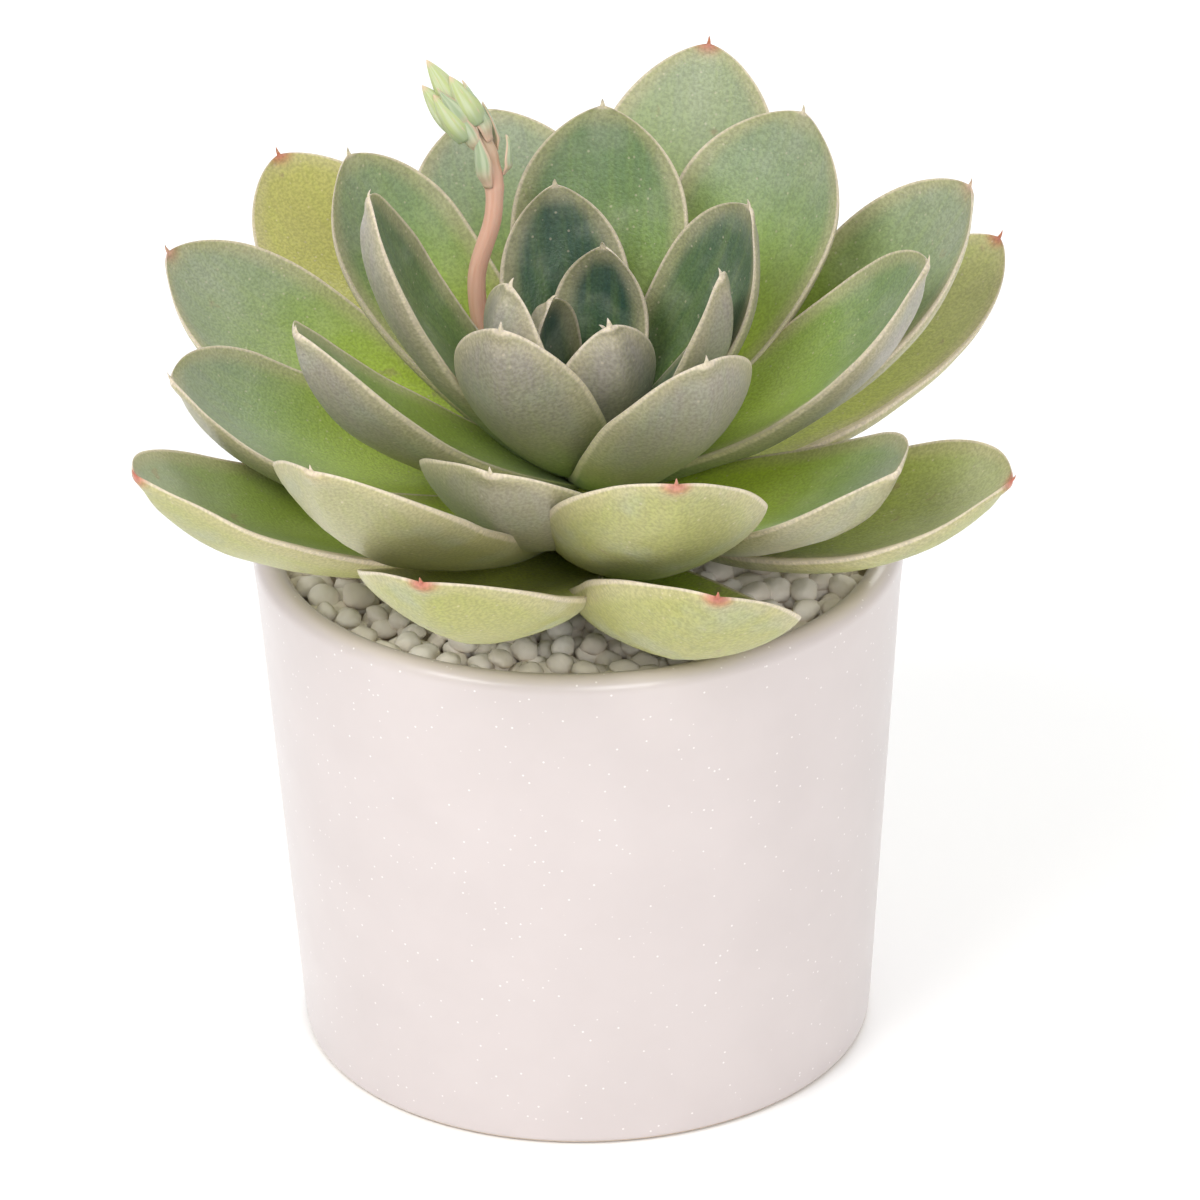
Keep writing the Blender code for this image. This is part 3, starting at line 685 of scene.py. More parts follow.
def leaf_body(leaf):
    """Rings round the leaf from base to spur, with the traits that its finish reads."""
    end = 1 + SPUR_LENGTH / leaf["length"]
    blade = 1 - (1 - np.linspace(0, 1, BLADE_STATIONS)) ** TIP_CROWDING
    along = np.concatenate([blade[:-1], np.linspace(1, end, SPUR_STATIONS)[:-1], [end - 0.02 * (end - 1)]])
    at, left, above = leaf_spine(leaf, np.append(along, end))
    tip = at[-1]
    at, left, above = at[:-1], left[:-1], above[:-1]
    spur = SPUR_RADIUS * ease(0.9, 1.0, along) * np.clip((end - along) / (end - 0.97), 0, 1) ** 0.8
    half = np.sqrt((leaf["width"] / 2 * np.where(along < 1, half_width_share(leaf, along), 0)) ** 2 + spur**2)
    folded = np.clip(BASE_FOLD_SHARE + FOLD_GAIN * along, 0, 1)
    fold = math.radians(leaf["fold"]) * folded
    flesh = leaf["thickness"] * thickness_share(along)
    flesh = flesh * np.minimum(1, 2 * half / (0.9 * leaf["thickness"]))
    flesh = np.sqrt(flesh**2 + spur**2)
    across = np.cos(np.linspace(0, math.pi, FACE_POINTS))
    angle = fold[:, None] * across
    radius = (half / fold)[:, None]
    sideways = radius * np.sin(angle)
    upward = radius * (1 - np.cos(angle))
    body_share = (ease(0.1, 0.5, along) * (1 - ease(0.85, 1, along)))[:, None]
    upward = upward - CHANNEL * body_share * np.exp(-((across / 0.3) ** 2))
    crown = between(EDGE_THICKNESS_SHARE, 1, (1 - across**2) ** 0.75)
    keel = KEEL * (ease(0.45, 0.75, along) * (1 - ease(0.9, 1, along)))[:, None]
    depth = flesh[:, None] * crown + keel * np.clip(1 - np.abs(across) / 0.6, 0, 1) ** 1.3
    depth = np.maximum(depth, LEAST_FLESH)
    upper = at[:, None] + sideways[..., None] * left[:, None] + upward[..., None] * above[:, None]
    lower = (
        at[:, None]
        + (sideways + np.sin(angle) * depth)[..., None] * left[:, None]
        + (upward - np.cos(angle) * depth)[..., None] * above[:, None]
    )
    swell = WAVE * ease(0.05, 0.35, along) * (1 - ease(0.93, 1, along))
    rise = swell[:, None] * wave(upper.reshape(-1, 3), leaf["place"]).reshape(upper.shape[:2])
    upper = upper + rise[..., None] * above[:, None]
    lower = lower + rise[..., None] * above[:, None]
    edge_out = EDGE_BULGE * depth[:, :1]
    left_edge = (upper[:, 0] + lower[:, 0]) / 2 + edge_out * left
    right_edge = (upper[:, -1] + lower[:, -1]) / 2 - edge_out * left
    rings = np.concatenate([upper, right_edge[:, None], lower[:, ::-1], left_edge[:, None]], axis=1)
    side = np.concatenate([across, [-1], across[::-1], [1]])
    face = np.concatenate([np.zeros(FACE_POINTS), [0.5], np.ones(FACE_POINTS), [0.5]])
    count, around = rings.shape[:2]
    rim_mm = np.minimum(
        (1 - np.abs(side)) * half[:, None], ((1 - np.minimum(along, 1)) * leaf["length"])[:, None]
    ) / MM
    tip_mm = np.hypot((end - along)[:, None] * leaf["length"], side * half[:, None]) / MM
    shift_mm = face * UNDER_SHIFT_MM + leaf["place"] * LEAF_SHIFT_MM
    place_mm = np.empty((count, around, 3))
    place_mm[..., 0] = side * half[:, None] / MM
    place_mm[..., 1] = (along * leaf["length"] / MM)[:, None]
    place_mm[..., 2] = shift_mm
    everywhere = np.ones(count * around)
    traits = {
        "leaf_mm": place_mm.reshape(-1, 3),
        "leaf_along": np.repeat(np.minimum(along, 1), around),
        "leaf_rim_mm": rim_mm.ravel(),
        "leaf_tip_mm": tip_mm.ravel(),
        "leaf_under": np.tile(face, count),
        "leaf_age": everywhere * leaf["place"] / LAST_PLACE,
        "leaf_red": everywhere * ease(19, 24, leaf["place"]),
        "leaf_gold": everywhere * GOLDEN_PLACES.get(leaf["place"], 0),
    }
    for name, values in traits.items():
        traits[name] = np.concatenate([values, values[-1:]])
    return rings, tip, traits


def make_leaf(place, material):
    rings, tip, traits = leaf_body(leaf_values(place))
    matrix = crown_matrix()
    rings = [[matrix @ Vector(point) for point in ring] for ring in rings]
    body = closed_loft(rings, matrix @ Vector(tip))
    leaf = add_piece(f"succulent_{node_name(place)}", *body, material, traits)
    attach(leaf, BODY)
    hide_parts(node_name(place))


# The flower stalk and what stands on it


def stalk_route(count):
    """Points on one smooth curve through the stalk's route."""
    route = np.array(STALK_ROUTE_MM) * MM
    padded = np.vstack([2 * route[0] - route[1], route, 2 * route[-1] - route[-2]])
    points = []
    for share in np.linspace(0, len(route) - 1, count):
        i = min(int(share), len(route) - 2)
        t = share - i
        a, b, c, d = padded[i : i + 4]
        bend = (2 * a - 5 * b + 4 * c - d) * t**2 + (3 * b - a - 3 * c + d) * t**3
        points.append(b + ((c - a) * t + bend) / 2)
    return [Vector(point) + Vector((0, 0, POT_HEIGHT)) for point in points]


def stalk_frame(share):
    """A matrix at this share of the stalk, its Z along the stalk and its X to the right."""
    points = stalk_route(101)
    i = min(int(share * 100), 99)
    along = (points[i + 1] - points[i]).normalized()
    side = along.cross(Vector((1, 0, 0))).normalized()
    right = side.cross(along)
    return Matrix.Translation(points[i]) @ Matrix((right, side, along)).transposed().to_4x4()


def spread_matrix(at, heading, opening, outwards):
    turn = Matrix.Rotation(math.radians(heading), 4, "Z")
    tilt = Matrix.Rotation(math.radians(opening), 4, "Y")
    return at @ turn @ Matrix.Translation((outwards, 0, 0)) @ tilt


def add_small_piece(name, rings, rim, tip, length, material):
    """A bract or bud, with what its finish reads: place in mm, height, and nearness to the edge."""
    count, around = len(rings), len(rings[0])
    along = np.repeat(np.linspace(0, 1, count), around)
    turn = np.tile(turns(around), count)
    place = np.stack([np.cos(turn) * SKIN_MM, along * length / MM, np.sin(turn) * SKIN_MM], -1)
    traits = {"bract_mm": place, "bract_along": along, "bract_rim": np.array(rim)}
    for trait, values in traits.items():
        traits[trait] = np.concatenate([values, values[-1:]])
    return add_piece(name, *closed_loft(rings, tip), material, traits)


def make_bract(index, bract, material):
    """A small pointed leaf that clasps the stalk, hollow towards it, with a keel outside."""
    share, heading, opening, length_mm, width_mm = bract
    length = length_mm * MM
    half = width_mm * MM / 2
    matrix = spread_matrix(stalk_frame(share), heading, opening, STALK_RADIUS + STALK_CLEARANCE)
    rings, rim = [], []
    for along in np.linspace(0, LAST_SECTION, SMALL_SECTIONS):
        width = half * (0.55 + 0.45 * math.sin(math.pi * min(1, along * 1.25))) * (1 - along**3)
        rooted = 1 - ease(0, 0.25, along)
        thick = BRACT_THICKNESS * (1 - 0.6 * along) * (1 - along**8) * (1 - 0.7 * rooted)
        ring = []
        for angle in turns(SMALL_SIDES):
            across = width * math.sin(angle)
            hollow = -0.5 * across**2 / half
            keel = BRACT_KEEL * max(0, math.cos(angle)) ** 6 * along
            out = thick / 2 * (1 + math.cos(angle)) + hollow + keel
            out -= BRACT_CURL * along**2 + STALK_CLEARANCE * rooted
            ring.append(matrix @ Vector((out, across, along * length)))
            rim.append(abs(math.sin(angle)) ** 3)
        rings.append(ring)
    tip = matrix @ Vector((-BRACT_CURL, 0, length))
    made = add_small_piece(f"stalk_bract_{index}", rings, rim, tip, length, material)
    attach(made, BODY)
    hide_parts(f"bract_{index}")


SEPAL_TURN = 360 / 5  # five sepals
BUD_TWIST = 40  # how far they wind round the bud
BUD_GROOVE = 0.13


def make_bud(index, bud, material):
    """A closed bud: a spindle of five sepals pressed together, with a groove between each two."""
    below_mm, heading, opening, length_mm = bud
    length = length_mm * MM
    at = stalk_frame(1) @ Matrix.Translation((0, 0, STALK_CLEARANCE - below_mm * MM))
    matrix = spread_matrix(at, heading, opening, STALK_RADIUS + STALK_CLEARANCE if opening else 0)
    rings, rim = [], []
    for along in np.linspace(0, LAST_SECTION, SMALL_SECTIONS):
        radius = BUD_RADIUS * math.sin(math.pi * (0.22 + 0.78 * along) ** 0.85) ** 0.8
        ring = []
        for angle in turns(2 * SMALL_SIDES):
            sepal = (math.degrees(angle) + BUD_TWIST * along) % SEPAL_TURN / SEPAL_TURN
            groove = 1 - BUD_GROOVE * (1 - math.sin(math.pi * sepal) ** 0.5)
            out = radius * groove
            ring.append(matrix @ Vector((out * math.cos(angle), out * math.sin(angle), along * length)))
            rim.append(1 - math.sin(math.pi * sepal) ** 0.5)
        rings.append(ring)
    tip = matrix @ Vector((0, 0, length))
    made = add_small_piece(f"closed_bud_{index}", rings, rim, tip, length, material)
    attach(made, BODY)
    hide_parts(f"bud_{index}")


NODE_SWELL = 0.12  # how much thicker the stalk is at a bract
STALK_RIDGE = 0.03
STALK_RIDGES = 5


def make_stalk(material):
    """The stalk: a little thicker at its foot and under each pair of bracts, with faint ridges."""
    points = stalk_route(STALK_STATIONS)
    rings = []
    for i, point in enumerate(points):
        along = i / (STALK_STATIONS - 1)
        ahead = points[min(i + 1, STALK_STATIONS - 1)] - points[max(i - 1, 0)]
        forward = ahead.normalized()
        side = forward.cross(Vector((1, 0, 0))).normalized()
        right = side.cross(forward)
        swell = max(NODE_SWELL * math.exp(-(((along - share) / 0.02) ** 2)) for share, *_ in BRACTS)
        radius = STALK_RADIUS * (between(1.04, 0.86, along) + swell)
        ring = []
        for turn in turns(STALK_SIDES):
            ridge = 1 + STALK_RIDGE * math.cos(STALK_RIDGES * turn + 3 * along)
            ring.append(point + radius * ridge * (math.cos(turn) * right + math.sin(turn) * side))
        rings.append(ring)
    end = points[-1] + (points[-1] - points[-2]).normalized() * 0.2 * MM
    along = np.repeat(np.linspace(0, 1, STALK_STATIONS), STALK_SIDES)
    turn = np.tile(turns(STALK_SIDES), STALK_STATIONS)
    place = np.stack([np.cos(turn) * SKIN_MM, along * STALK_LENGTH_MM, np.sin(turn) * SKIN_MM], -1)
    traits = {
        "stalk_mm": np.vstack([place, place[-1:]]),
        "stalk_along": np.append(along, 1),
    }
    stalk = add_piece("curved_flower_stalk", *closed_loft(rings, end), material, traits)
    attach(stalk, BODY)
    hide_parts("flower_stalk")


# The pot and what fills it


def pot_radius(height):
    return between(FOOT_RADIUS, RIM_RADIUS, height / POT_HEIGHT)


def arc(centre, radius, start, end, points):
    angles = np.radians(np.linspace(start, end, points))
    return [(centre[0] + radius * math.cos(a), centre[1] + radius * math.sin(a)) for a in angles]


INNER_ROUND = 2 * MM  # where the floor meets the wall
INNER_WALL_HEIGHTS = (30 * MM, 55 * MM, 82 * MM)
OUTER_WALL_HEIGHTS = np.linspace(POT_HEIGHT - 8 * MM, 4 * MM, 12)
FOOT_RING_INSIDE = 40 * MM
FOOT_RING_SLOPE = 1.5 * MM
FOOT_RECESS = 0.8 * MM  # how far the base is hollowed inside its foot ring
WALL_WOBBLE = 0.12 * MM  # how far the turned wall swells and dips, by chance


def make_pot(material):
    """The pot, turned fine: floor, wall, a soft lip that dips and swells a little, and foot."""
    lip = WALL / 2
    lip_centre = (RIM_RADIUS - lip, POT_HEIGHT - lip)
    foot_centre = (FOOT_RADIUS - FOOT_ROUND, FOOT_ROUND)
    inner_foot = pot_radius(POT_FLOOR) - WALL
    profile = [(inner_foot * share, POT_FLOOR) for share in (0.3, 0.6, 0.9)]
    profile += arc((inner_foot - INNER_ROUND, POT_FLOOR + INNER_ROUND), INNER_ROUND, -90, 0, 5)
    profile += [(pot_radius(height) - WALL, height) for height in INNER_WALL_HEIGHTS]
    profile += arc(lip_centre, lip, 180, 0, 17)
    profile += [(pot_radius(height), height) for height in OUTER_WALL_HEIGHTS]
    profile += arc(foot_centre, FOOT_ROUND, 0, -90, 7)
    profile += [(FOOT_RING_INSIDE, 0), (FOOT_RING_INSIDE - FOOT_RING_SLOPE, FOOT_RECESS)]
    profile += [(FOOT_RING_INSIDE / 2, FOOT_RECESS)]
    points = [(0, 0, POT_FLOOR)]
    for radius, height in profile:
        for turn in turns(POT_STEPS):
            wobble = WALL_WOBBLE * noise.noise(Vector((math.cos(turn), math.sin(turn), height * 9)))
            out = radius + wobble * (height > FOOT_ROUND)
            points.append((out * math.cos(turn), out * math.sin(turn), height))
    points.append((0, 0, FOOT_RECESS))
    faces = ring_faces(len(profile), POT_STEPS, 1)
    last = 1 + (len(profile) - 1) * POT_STEPS
    faces += [(0, 1 + i, 1 + (i + 1) % POT_STEPS) for i in range(POT_STEPS)]
    faces += [(len(points) - 1, last + (i + 1) % POT_STEPS, last + i) for i in range(POT_STEPS)]
    faces = [face[::-1] for face in faces]
    pot = add_piece("glazed_pot", points, faces, material)
    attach(pot, BODY)
    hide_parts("pot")


STONE_SEED = 11
STONE_SPACING = 3.3 * MM
STONE_LAYERS = (
    # height from the gravel's top, share of the spacing, tries, most stones
    (-1.6 * MM, 1, 9000, 400),
    (0.4 * MM, 1.2, 3000, 205),
)
STONE_WALL_CLEARANCE = 2.2 * MM
HIDDEN_REACH = 9 * MM  # the stem's foot takes this much of the middle
# The least and most that chance gives a stone
STONE_SIZES = (0.8, 1.15)
STONE_STRETCHES = ((0.95, 1.25), (0.85, 1.1), (0.7, 0.9))
STONE_TILTS = (-0.5, 0.5)
STONE_SHIFTS = (-0.5, 0.5)
STONE_TINTS = (0, 0.8)
STONE_LUMPS = 0.22


def stone_spots(rng, reach, spacing, tries, most):
    """Chance places in a disc, round the stem, none nearer to another than spacing."""
    spots = np.zeros((0, 2))
    for _ in range(tries):
        turn, out = rng.uniform(0, 2 * math.pi), reach * math.sqrt(rng.uniform())
        spot = np.array([out * math.cos(turn), out * math.sin(turn)])
        clear = not len(spots) or np.min(np.hypot(*(spots - spot).T)) > spacing
        if clear and out > HIDDEN_REACH and len(spots) < most:
            spots = np.vstack([spots, spot])
    return spots


def chance_heights(points, number, size):
    """A smooth chance number at each point, other for each stone."""
    return np.array([noise.noise(Vector(point) * size + Vector((number * 3.1, 0, 0))) for point in points])


def make_stones(settings, material):
    """Single stones in two layers over the bed, each a lumpy ball of its own."""
    rng = np.random.default_rng(STONE_SEED)
    ball = bmesh.new()
    bmesh.ops.create_icosphere(ball, subdivisions=3, radius=1)
    ball_points = np.array([vertex.co for vertex in ball.verts])
    ball_faces = np.array([[vertex.index for vertex in face.verts] for face in ball.faces])
    ball.free()
    reach = RIM_RADIUS - WALL - STONE_WALL_CLEARANCE
    spots = []
    for height, share, tries, most in STONE_LAYERS:
        layer = stone_spots(rng, reach, STONE_SPACING * share, tries, most)
        spots += [(spot, GRAVEL_TOP + height) for spot in layer]
    points, faces, low, tint = [], [], [], []
    for number, (spot, height) in enumerate(spots):
        size = settings.stone_size / 2 * rng.uniform(*STONE_SIZES)
        stretch = [rng.uniform(*limits) for limits in STONE_STRETCHES]
        lumps = chance_heights(ball_points, number, 1.1) + 0.35 * chance_heights(ball_points, number, 2.7)
        stone = ball_points * (1 + STONE_LUMPS * lumps[:, None]) * size * np.array(stretch)
        turn = Matrix.Rotation(rng.uniform(0, 2 * math.pi), 3, "Z")
        turn = turn @ Matrix.Rotation(rng.uniform(*STONE_TILTS), 3, "X")
        stone = stone @ np.array(turn).T
        faces += (ball_faces + len(ball_points) * number).tolist()
        # How low each point sits on its stone, which the painted shade follows
        low.append(np.clip(0.5 - stone[:, 2] / size * 0.7, 0, 1))
        tint.append(np.full(len(stone), rng.uniform(*STONE_TINTS)))
        points.append(stone + (spot[0], spot[1], height + rng.uniform(*STONE_SHIFTS) * MM))
    traits = {"stone_low": np.concatenate(low), "stone_tint": np.concatenate(tint)}
    stones = add_piece("gravel_stones", np.vstack(points), faces, material, traits)
    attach(stones, BODY)
    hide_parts("gravel_top_dressing")


BED_DROP = 3.2 * MM  # below the gravel's top
BED_DEPTH = 3 * MM
BED_RELIEF = 0.8 * MM
BED_RELIEF_WIDTH = 3 * MM
BED_CLEARANCE = 0.3 * MM


def make_bed(material):
    """The bed under the stones, which closes the gaps between them; it is all in the tan painted shade."""
    rings, around = 16, 64
    outer = RIM_RADIUS - WALL - BED_CLEARANCE
    top = GRAVEL_TOP - BED_DROP
    points = [(0, 0, top)]
    for ring in range(1, rings + 1):
        for turn in turns(around):
            spot = Vector((math.cos(turn), math.sin(turn), 0)) * outer * ring / rings
            points.append((spot.x, spot.y, top + BED_RELIEF * noise.noise(spot / BED_RELIEF_WIDTH)))
    faces = [(0, 1 + i, 1 + (i + 1) % around) for i in range(around)]
    faces += [face[::-1] for face in ring_faces(rings, around, 1)]
    bed = add_piece("gravel_bed", points, faces, material)
    thick = bed.modifiers.new("Depth", "SOLIDIFY")
    thick.thickness = BED_DEPTH
    thick.offset = -1
    # The whole bed takes the painted shade of the gaps between the stones
    traits = bed.data.attributes.new("stone_low", "FLOAT", "POINT")
    traits.data.foreach_set("value", np.ones(len(points), np.float32))
    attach(bed, BODY)


NECK_RADIUS = 6 * MM
CROWN_RADIUS = 9.6 * MM
STEM_DEPTH = 10 * MM  # below the rim
RING_SCAR = 0.35 * MM  # how far the rings of old leaf scars stand out
CORK_LUMP = 0.5 * MM


def make_stem(material):
    """The short stem, ringed where old leaves dropped, which carries the rosette."""
    lean = crown_matrix()
    low = Vector((CROWN_OFFSET, 0, POT_HEIGHT - STEM_DEPTH))
    high = lean @ Vector((0, 0, CROWN_RISE))
    stations, around = 30, 36
    rings = []
    for along in np.linspace(0, 1, stations):
        centre = low.lerp(high, along)
        radius = between(NECK_RADIUS, CROWN_RADIUS, ease(0.2, 0.5, along))
        radius *= 1 - 0.75 * ease(0.55, 1, along)
        ring = []
        for turn in turns(around):
            scar = RING_SCAR * math.cos(along * 60) * (along < 0.5)
            lump = CORK_LUMP * noise.noise(Vector((math.cos(turn) * 2, math.sin(turn) * 2, along * 9)))
            out = radius + scar + lump
            ring.append(centre + Vector((out * math.cos(turn), out * math.sin(turn), 0)))
        rings.append(ring)
    stem = add_piece("corky_stem", *closed_loft(rings, high + Vector((0, 0, CORK_LUMP))), material)
    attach(stem, BODY)
    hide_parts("stem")


# Settings that a user would change


def colour_setting(name, hex_colour, description):
    return FloatVectorProperty(
        name=name,
        description=description,
        subtype="COLOR",
        size=4,
        min=0,
        max=1,
        default=linear(hex_colour),
    )


class PlantSettings(bpy.types.PropertyGroup):
    inner: colour_setting("Inner leaves", "28473F", "Upper side of the youngest leaves")
    middle: colour_setting("Middle leaves", "728D58", "Upper side of the middle leaves")
    outer: colour_setting("Outer leaves", "8CA056", "Upper side of the oldest leaves")
    lime: colour_setting("Leaf base", "AEC53A", "Where light comes through a leaf's base")
    gold: colour_setting("Yellowing leaf", "BDB65A", "Upper side of an old leaf that turns yellow")
    bloom: colour_setting("Bloom", "A9AC9C", "Waxy bloom on the leaves")
    inner_under: colour_setting("Inner underside", "A39B91", "Underside of the inner leaves")
    outer_under: colour_setting("Outer underside", "A8A764", "Underside of the oldest leaves")
    halo: colour_setting("Halo", "BDB28C", "Warm band just inside a leaf's margin")
    margin: colour_setting("Margin", "DACBB6", "Thin pale margin of a leaf")
    red: colour_setting("Red tip", "B04A38", "Point of an old leaf")
    scar: colour_setting("Scar", "9A8765", "Dry scars on the leaves and the stem")
    cork: colour_setting("Cork", "5A4636", "Deep parts of the stem's corky skin")


class FlowerSettings(bpy.types.PropertyGroup):
    stalk: colour_setting("Stalk", "D09A82", "Skin of the flower stalk")
    stalk_pale: colour_setting("Stalk streaks", "E4BDA8", "Paler streaks on the stalk")
    bract: colour_setting("Bracts", "9CAC88", "Upper part of the stalk and its bracts")
    lines: colour_setting("Bract lines", "C6CDB0", "Fine pale lines on bracts and buds")
    edge: colour_setting("Bract edge", "DDB9A4", "Thin edge of a bract")
    bud: colour_setting("Buds", "B4BF84", "Closed buds")


class PotSettings(bpy.types.PropertyGroup):
    glaze: colour_setting("Glaze", "CEC4C2", "Where the glaze is thick")
    glaze_thin: colour_setting("Thin glaze", "CAC0BE", "Where the glaze is thinner")
    # Lighter than the glaze: partly thin glaze, partly painted light over the shade on the rim
    lip: colour_setting("Lip", "D8CCC6", "Where the glaze runs thin over the lip")
    bare_clay: colour_setting("Bare clay", "BCA995", "The foot, which has no glaze")


class GravelSettings(bpy.types.PropertyGroup):
    stone_size: FloatProperty(
        name="Stone size",
        description="How wide a common stone is",
        unit="LENGTH",
        subtype="DISTANCE",
        default=4.3 * MM,
        min=2 * MM,
        max=8 * MM,
    )
    pale: colour_setting("Pale stone", "FAF5EC", "The palest stones")
    warm: colour_setting("Warm stone", "F0E6D8", "The warmest stones")
    # Painted shade, tan, low down on the stones and on the bed between them
    painted_shade: colour_setting("Shading", "D6C6B0", "Dust low down between the stones")
    peat: colour_setting("Peat", "2E241D", "The darkest crumbs of the potting mix")
    bark: colour_setting("Bark", "7A6753", "The palest crumbs of the potting mix")


class StageSettings(bpy.types.PropertyGroup):
    floor: colour_setting("Floor", "FFFFFF", "The pale floor")
    lens: FloatProperty(
        name="Lens",
        description="The camera's focal length",
        unit="CAMERA",
        default=257,
        min=20,
        max=400,
    )
    sky: FloatProperty(
        name="Fill light",
        description="Brightness of the plain white surroundings",
        default=0.7,
        min=0,
        max=4,
    )
    floor_size: IntProperty(
        name="Floor size", description="The floor's side, in metres", default=6, min=1, max=40
    )


# One operator for each piece or group of like pieces


class SUCCULENT_OT_pot(bpy.types.Operator):
    """Turns the glazed pot"""

    bl_idname = "succulent.pot"
    bl_label = "Glazed pot"

    def execute(self, context):
        make_pot(glaze_finish(context.scene.succulent_pot))
        return {"FINISHED"}


class SUCCULENT_OT_potting_mix(bpy.types.Operator):
    """Gives the potting mix under the gravel its finish"""

    bl_idname = "succulent.potting_mix"
    bl_label = "Potting mix"

    def execute(self, context):
        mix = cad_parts["potting_mix"]
        mix.data.materials.clear()
        mix.data.materials.append(mix_finish(context.scene.succulent_gravel))
        return {"FINISHED"}


class SUCCULENT_OT_gravel(bpy.types.Operator):
    """Lays the bed and the stones on it"""

    bl_idname = "succulent.gravel"
    bl_label = "Gravel"

    def execute(self, context):
        settings = context.scene.succulent_gravel
        stone = stone_finish(settings)
        make_bed(stone)
        make_stones(settings, stone)
        return {"FINISHED"}


class SUCCULENT_OT_stem(bpy.types.Operator):
    """Grows the short stem that carries the rosette"""

    bl_idname = "succulent.stem"
    bl_label = "Stem"

    def execute(self, context):
        make_stem(stem_finish(context.scene.succulent_plant))
        return {"FINISHED"}


class SUCCULENT_OT_leaves(bpy.types.Operator):
    """Grows the rosette, one leaf after another"""

    bl_idname = "succulent.leaves"
    bl_label = "Leaves"

    def execute(self, context):
        finish = leaf_finish(context.scene.succulent_plant)
        for place in leaf_places():
            make_leaf(place, finish)
        return {"FINISHED"}


class SUCCULENT_OT_stalk(bpy.types.Operator):
    """Grows the curved flower stalk"""

    bl_idname = "succulent.stalk"
    bl_label = "Flower stalk"

    def execute(self, context):
        make_stalk(stalk_finish(context.scene.succulent_flower))
        return {"FINISHED"}


class SUCCULENT_OT_bracts(bpy.types.Operator):
    """Grows the bracts that clasp the stalk"""

    bl_idname = "succulent.bracts"
    bl_label = "Bracts"

    def execute(self, context):
        flower = context.scene.succulent_flower
        colours = tuple(flower.bract), tuple(flower.stalk_pale)
        finish = young_tissue_finish(flower, "Bract, light bloom", *colours)
        for index, bract in enumerate(reversed(BRACTS), 1):
            make_bract(index, bract, finish)
        return {"FINISHED"}


class SUCCULENT_OT_buds(bpy.types.Operator):
    """Grows the closed buds at the stalk's end"""

    bl_idname = "succulent.buds"
    bl_label = "Buds"

    def execute(self, context):
        flower = context.scene.succulent_flower
        colours = tuple(flower.bud), tuple(flower.bract)
        finish = young_tissue_finish(flower, "Bud, closed sepals", *colours)
        for index, bud in enumerate(BUDS, 1):
            make_bud(index, bud, finish)
        return {"FINISHED"}


CAMERA_DISTANCE = 1400 * MM
CAMERA_RISE = 28  # degrees above the pot's middle
CAMERA_ROLL = -1.1
CAMERA_SENSOR = 36  # mm
CAMERA_CLIPS = (0.05, 50)  # metres
CAMERA_AIM = (3.3 * MM, 13.1 * MM, 68.1 * MM)
LIGHTS = (
    # name, place in metres, width in metres, watts
    ("Key softbox", (-0.9, -1.0, 1.5), 1.1, 18),
    ("Front softbox", (0.35, -1.5, 0.95), 0.8, 9),
    ("Back softbox", (0.4, 1.3, 1.3), 1.0, 9),
)


def add_light(name, place, width, watts):
    data = bpy.data.lights.new(name, "AREA")
    data.shape = "DISK"
    data.size = width
    data.energy = watts
    lamp = add_object(name, data)
    lamp.location = place
    toward = Vector(CAMERA_AIM) - Vector(place)
    lamp.rotation_euler = toward.to_track_quat("-Z", "Y").to_euler()


def make_floor(settings):
    """Matt white studio paper, which is plain and even."""
    material, tree = new_finish("Studio paper, matt")
    paper = {"Base Color": tuple(settings.floor), "Roughness": 0.9, "Specular IOR Level": 0.1}
    add_node(tree, OUTPUT, {}, {"Surface": add_node(tree, PRINCIPLED, {}, paper)})
    half = settings.floor_size / 2
    points = [(-half, -half, 0), (half, -half, 0), (half, half, 0), (-half, half, 0)]
    floor = add_piece("studio_floor", points, [(0, 1, 2, 3)], material)


def make_camera(settings):
    data = bpy.data.cameras.new("Camera")
    data.lens = settings.lens
    data.sensor_width = CAMERA_SENSOR
    data.clip_start, data.clip_end = CAMERA_CLIPS
    camera = add_object("Camera", data)
    rise = math.radians(CAMERA_RISE)
    stand = Vector((0, -math.cos(rise), math.sin(rise))) * CAMERA_DISTANCE
    stand.z += POT_HEIGHT / 2
    aim = (Vector(CAMERA_AIM) - stand).to_track_quat("-Z", "Y")
    camera.rotation_mode = "QUATERNION"
    camera.location = stand
    roll = Matrix.Rotation(math.radians(CAMERA_ROLL), 4, "Z").to_quaternion()
    camera.rotation_quaternion = aim @ roll
    bpy.context.scene.camera = camera


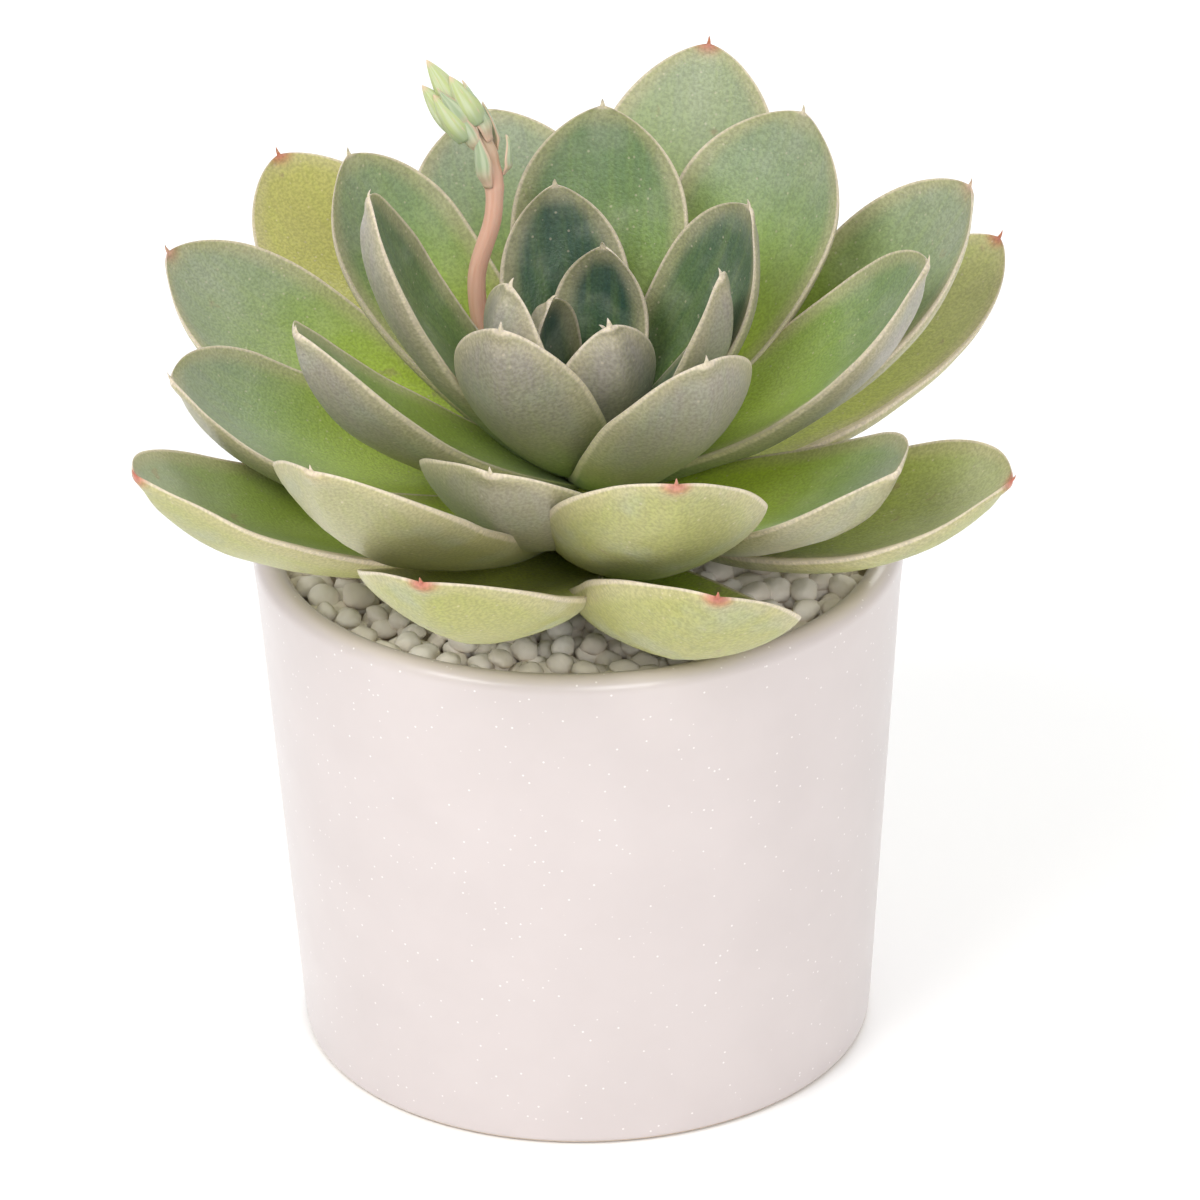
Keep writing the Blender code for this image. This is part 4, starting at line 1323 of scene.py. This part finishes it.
class SUCCULENT_OT_stage(bpy.types.Operator):
    """Sets the pale floor, the soft studio lights and the camera"""

    bl_idname = "succulent.stage"
    bl_label = "Stage"

    def execute(self, context):
        settings = context.scene.succulent_stage
        make_floor(settings)
        for light in LIGHTS:
            add_light(*light)
        world = bpy.data.worlds.new("Plain studio")
        world.use_nodes = True
        background = world.node_tree.nodes["Background"]
        background.inputs["Color"].default_value = (1, 1, 1, 1)
        background.inputs["Strength"].default_value = settings.sky
        context.scene.world = world
        context.scene.view_settings.view_transform = "Standard"
        make_camera(settings)
        return {"FINISHED"}


class SUCCULENT_PT_panel(bpy.types.Panel):
    bl_idname = "SUCCULENT_PT_panel"
    bl_label = "Potted Succulent"
    bl_space_type = "VIEW_3D"
    bl_region_type = "UI"
    bl_category = "Succulent"

    def draw(self, context):
        scene = context.scene
        for operators, settings in (
            (("pot",), scene.succulent_pot),
            (("potting_mix", "gravel"), scene.succulent_gravel),
            (("stem", "leaves"), scene.succulent_plant),
            (("stalk", "bracts", "buds"), scene.succulent_flower),
            (("stage",), scene.succulent_stage),
        ):
            box = self.layout.box()
            for name in operators:
                box.operator(f"succulent.{name}")
            for name in settings.__annotations__:
                box.prop(settings, name)


SETTINGS = {
    "succulent_plant": PlantSettings,
    "succulent_flower": FlowerSettings,
    "succulent_pot": PotSettings,
    "succulent_gravel": GravelSettings,
    "succulent_stage": StageSettings,
}
OPERATORS = (
    SUCCULENT_OT_pot,
    SUCCULENT_OT_potting_mix,
    SUCCULENT_OT_gravel,
    SUCCULENT_OT_stem,
    SUCCULENT_OT_leaves,
    SUCCULENT_OT_stalk,
    SUCCULENT_OT_bracts,
    SUCCULENT_OT_buds,
    SUCCULENT_OT_stage,
)


def register():
    for each in (*SETTINGS.values(), *OPERATORS, SUCCULENT_PT_panel):
        bpy.utils.register_class(each)
    for name, group in SETTINGS.items():
        setattr(bpy.types.Scene, name, PointerProperty(type=group))


def unregister():
    for name in SETTINGS:
        delattr(bpy.types.Scene, name)
    for each in (SUCCULENT_PT_panel, *reversed(OPERATORS), *SETTINGS.values()):
        bpy.utils.unregister_class(each)


def main():
    register()
    bpy.ops.succulent.pot()
    bpy.ops.succulent.potting_mix()
    bpy.ops.succulent.gravel()
    bpy.ops.succulent.stem()
    bpy.ops.succulent.leaves()
    bpy.ops.succulent.stalk()
    bpy.ops.succulent.bracts()
    bpy.ops.succulent.buds()
    bpy.ops.succulent.stage()


if __name__ == "__main__":
    main()
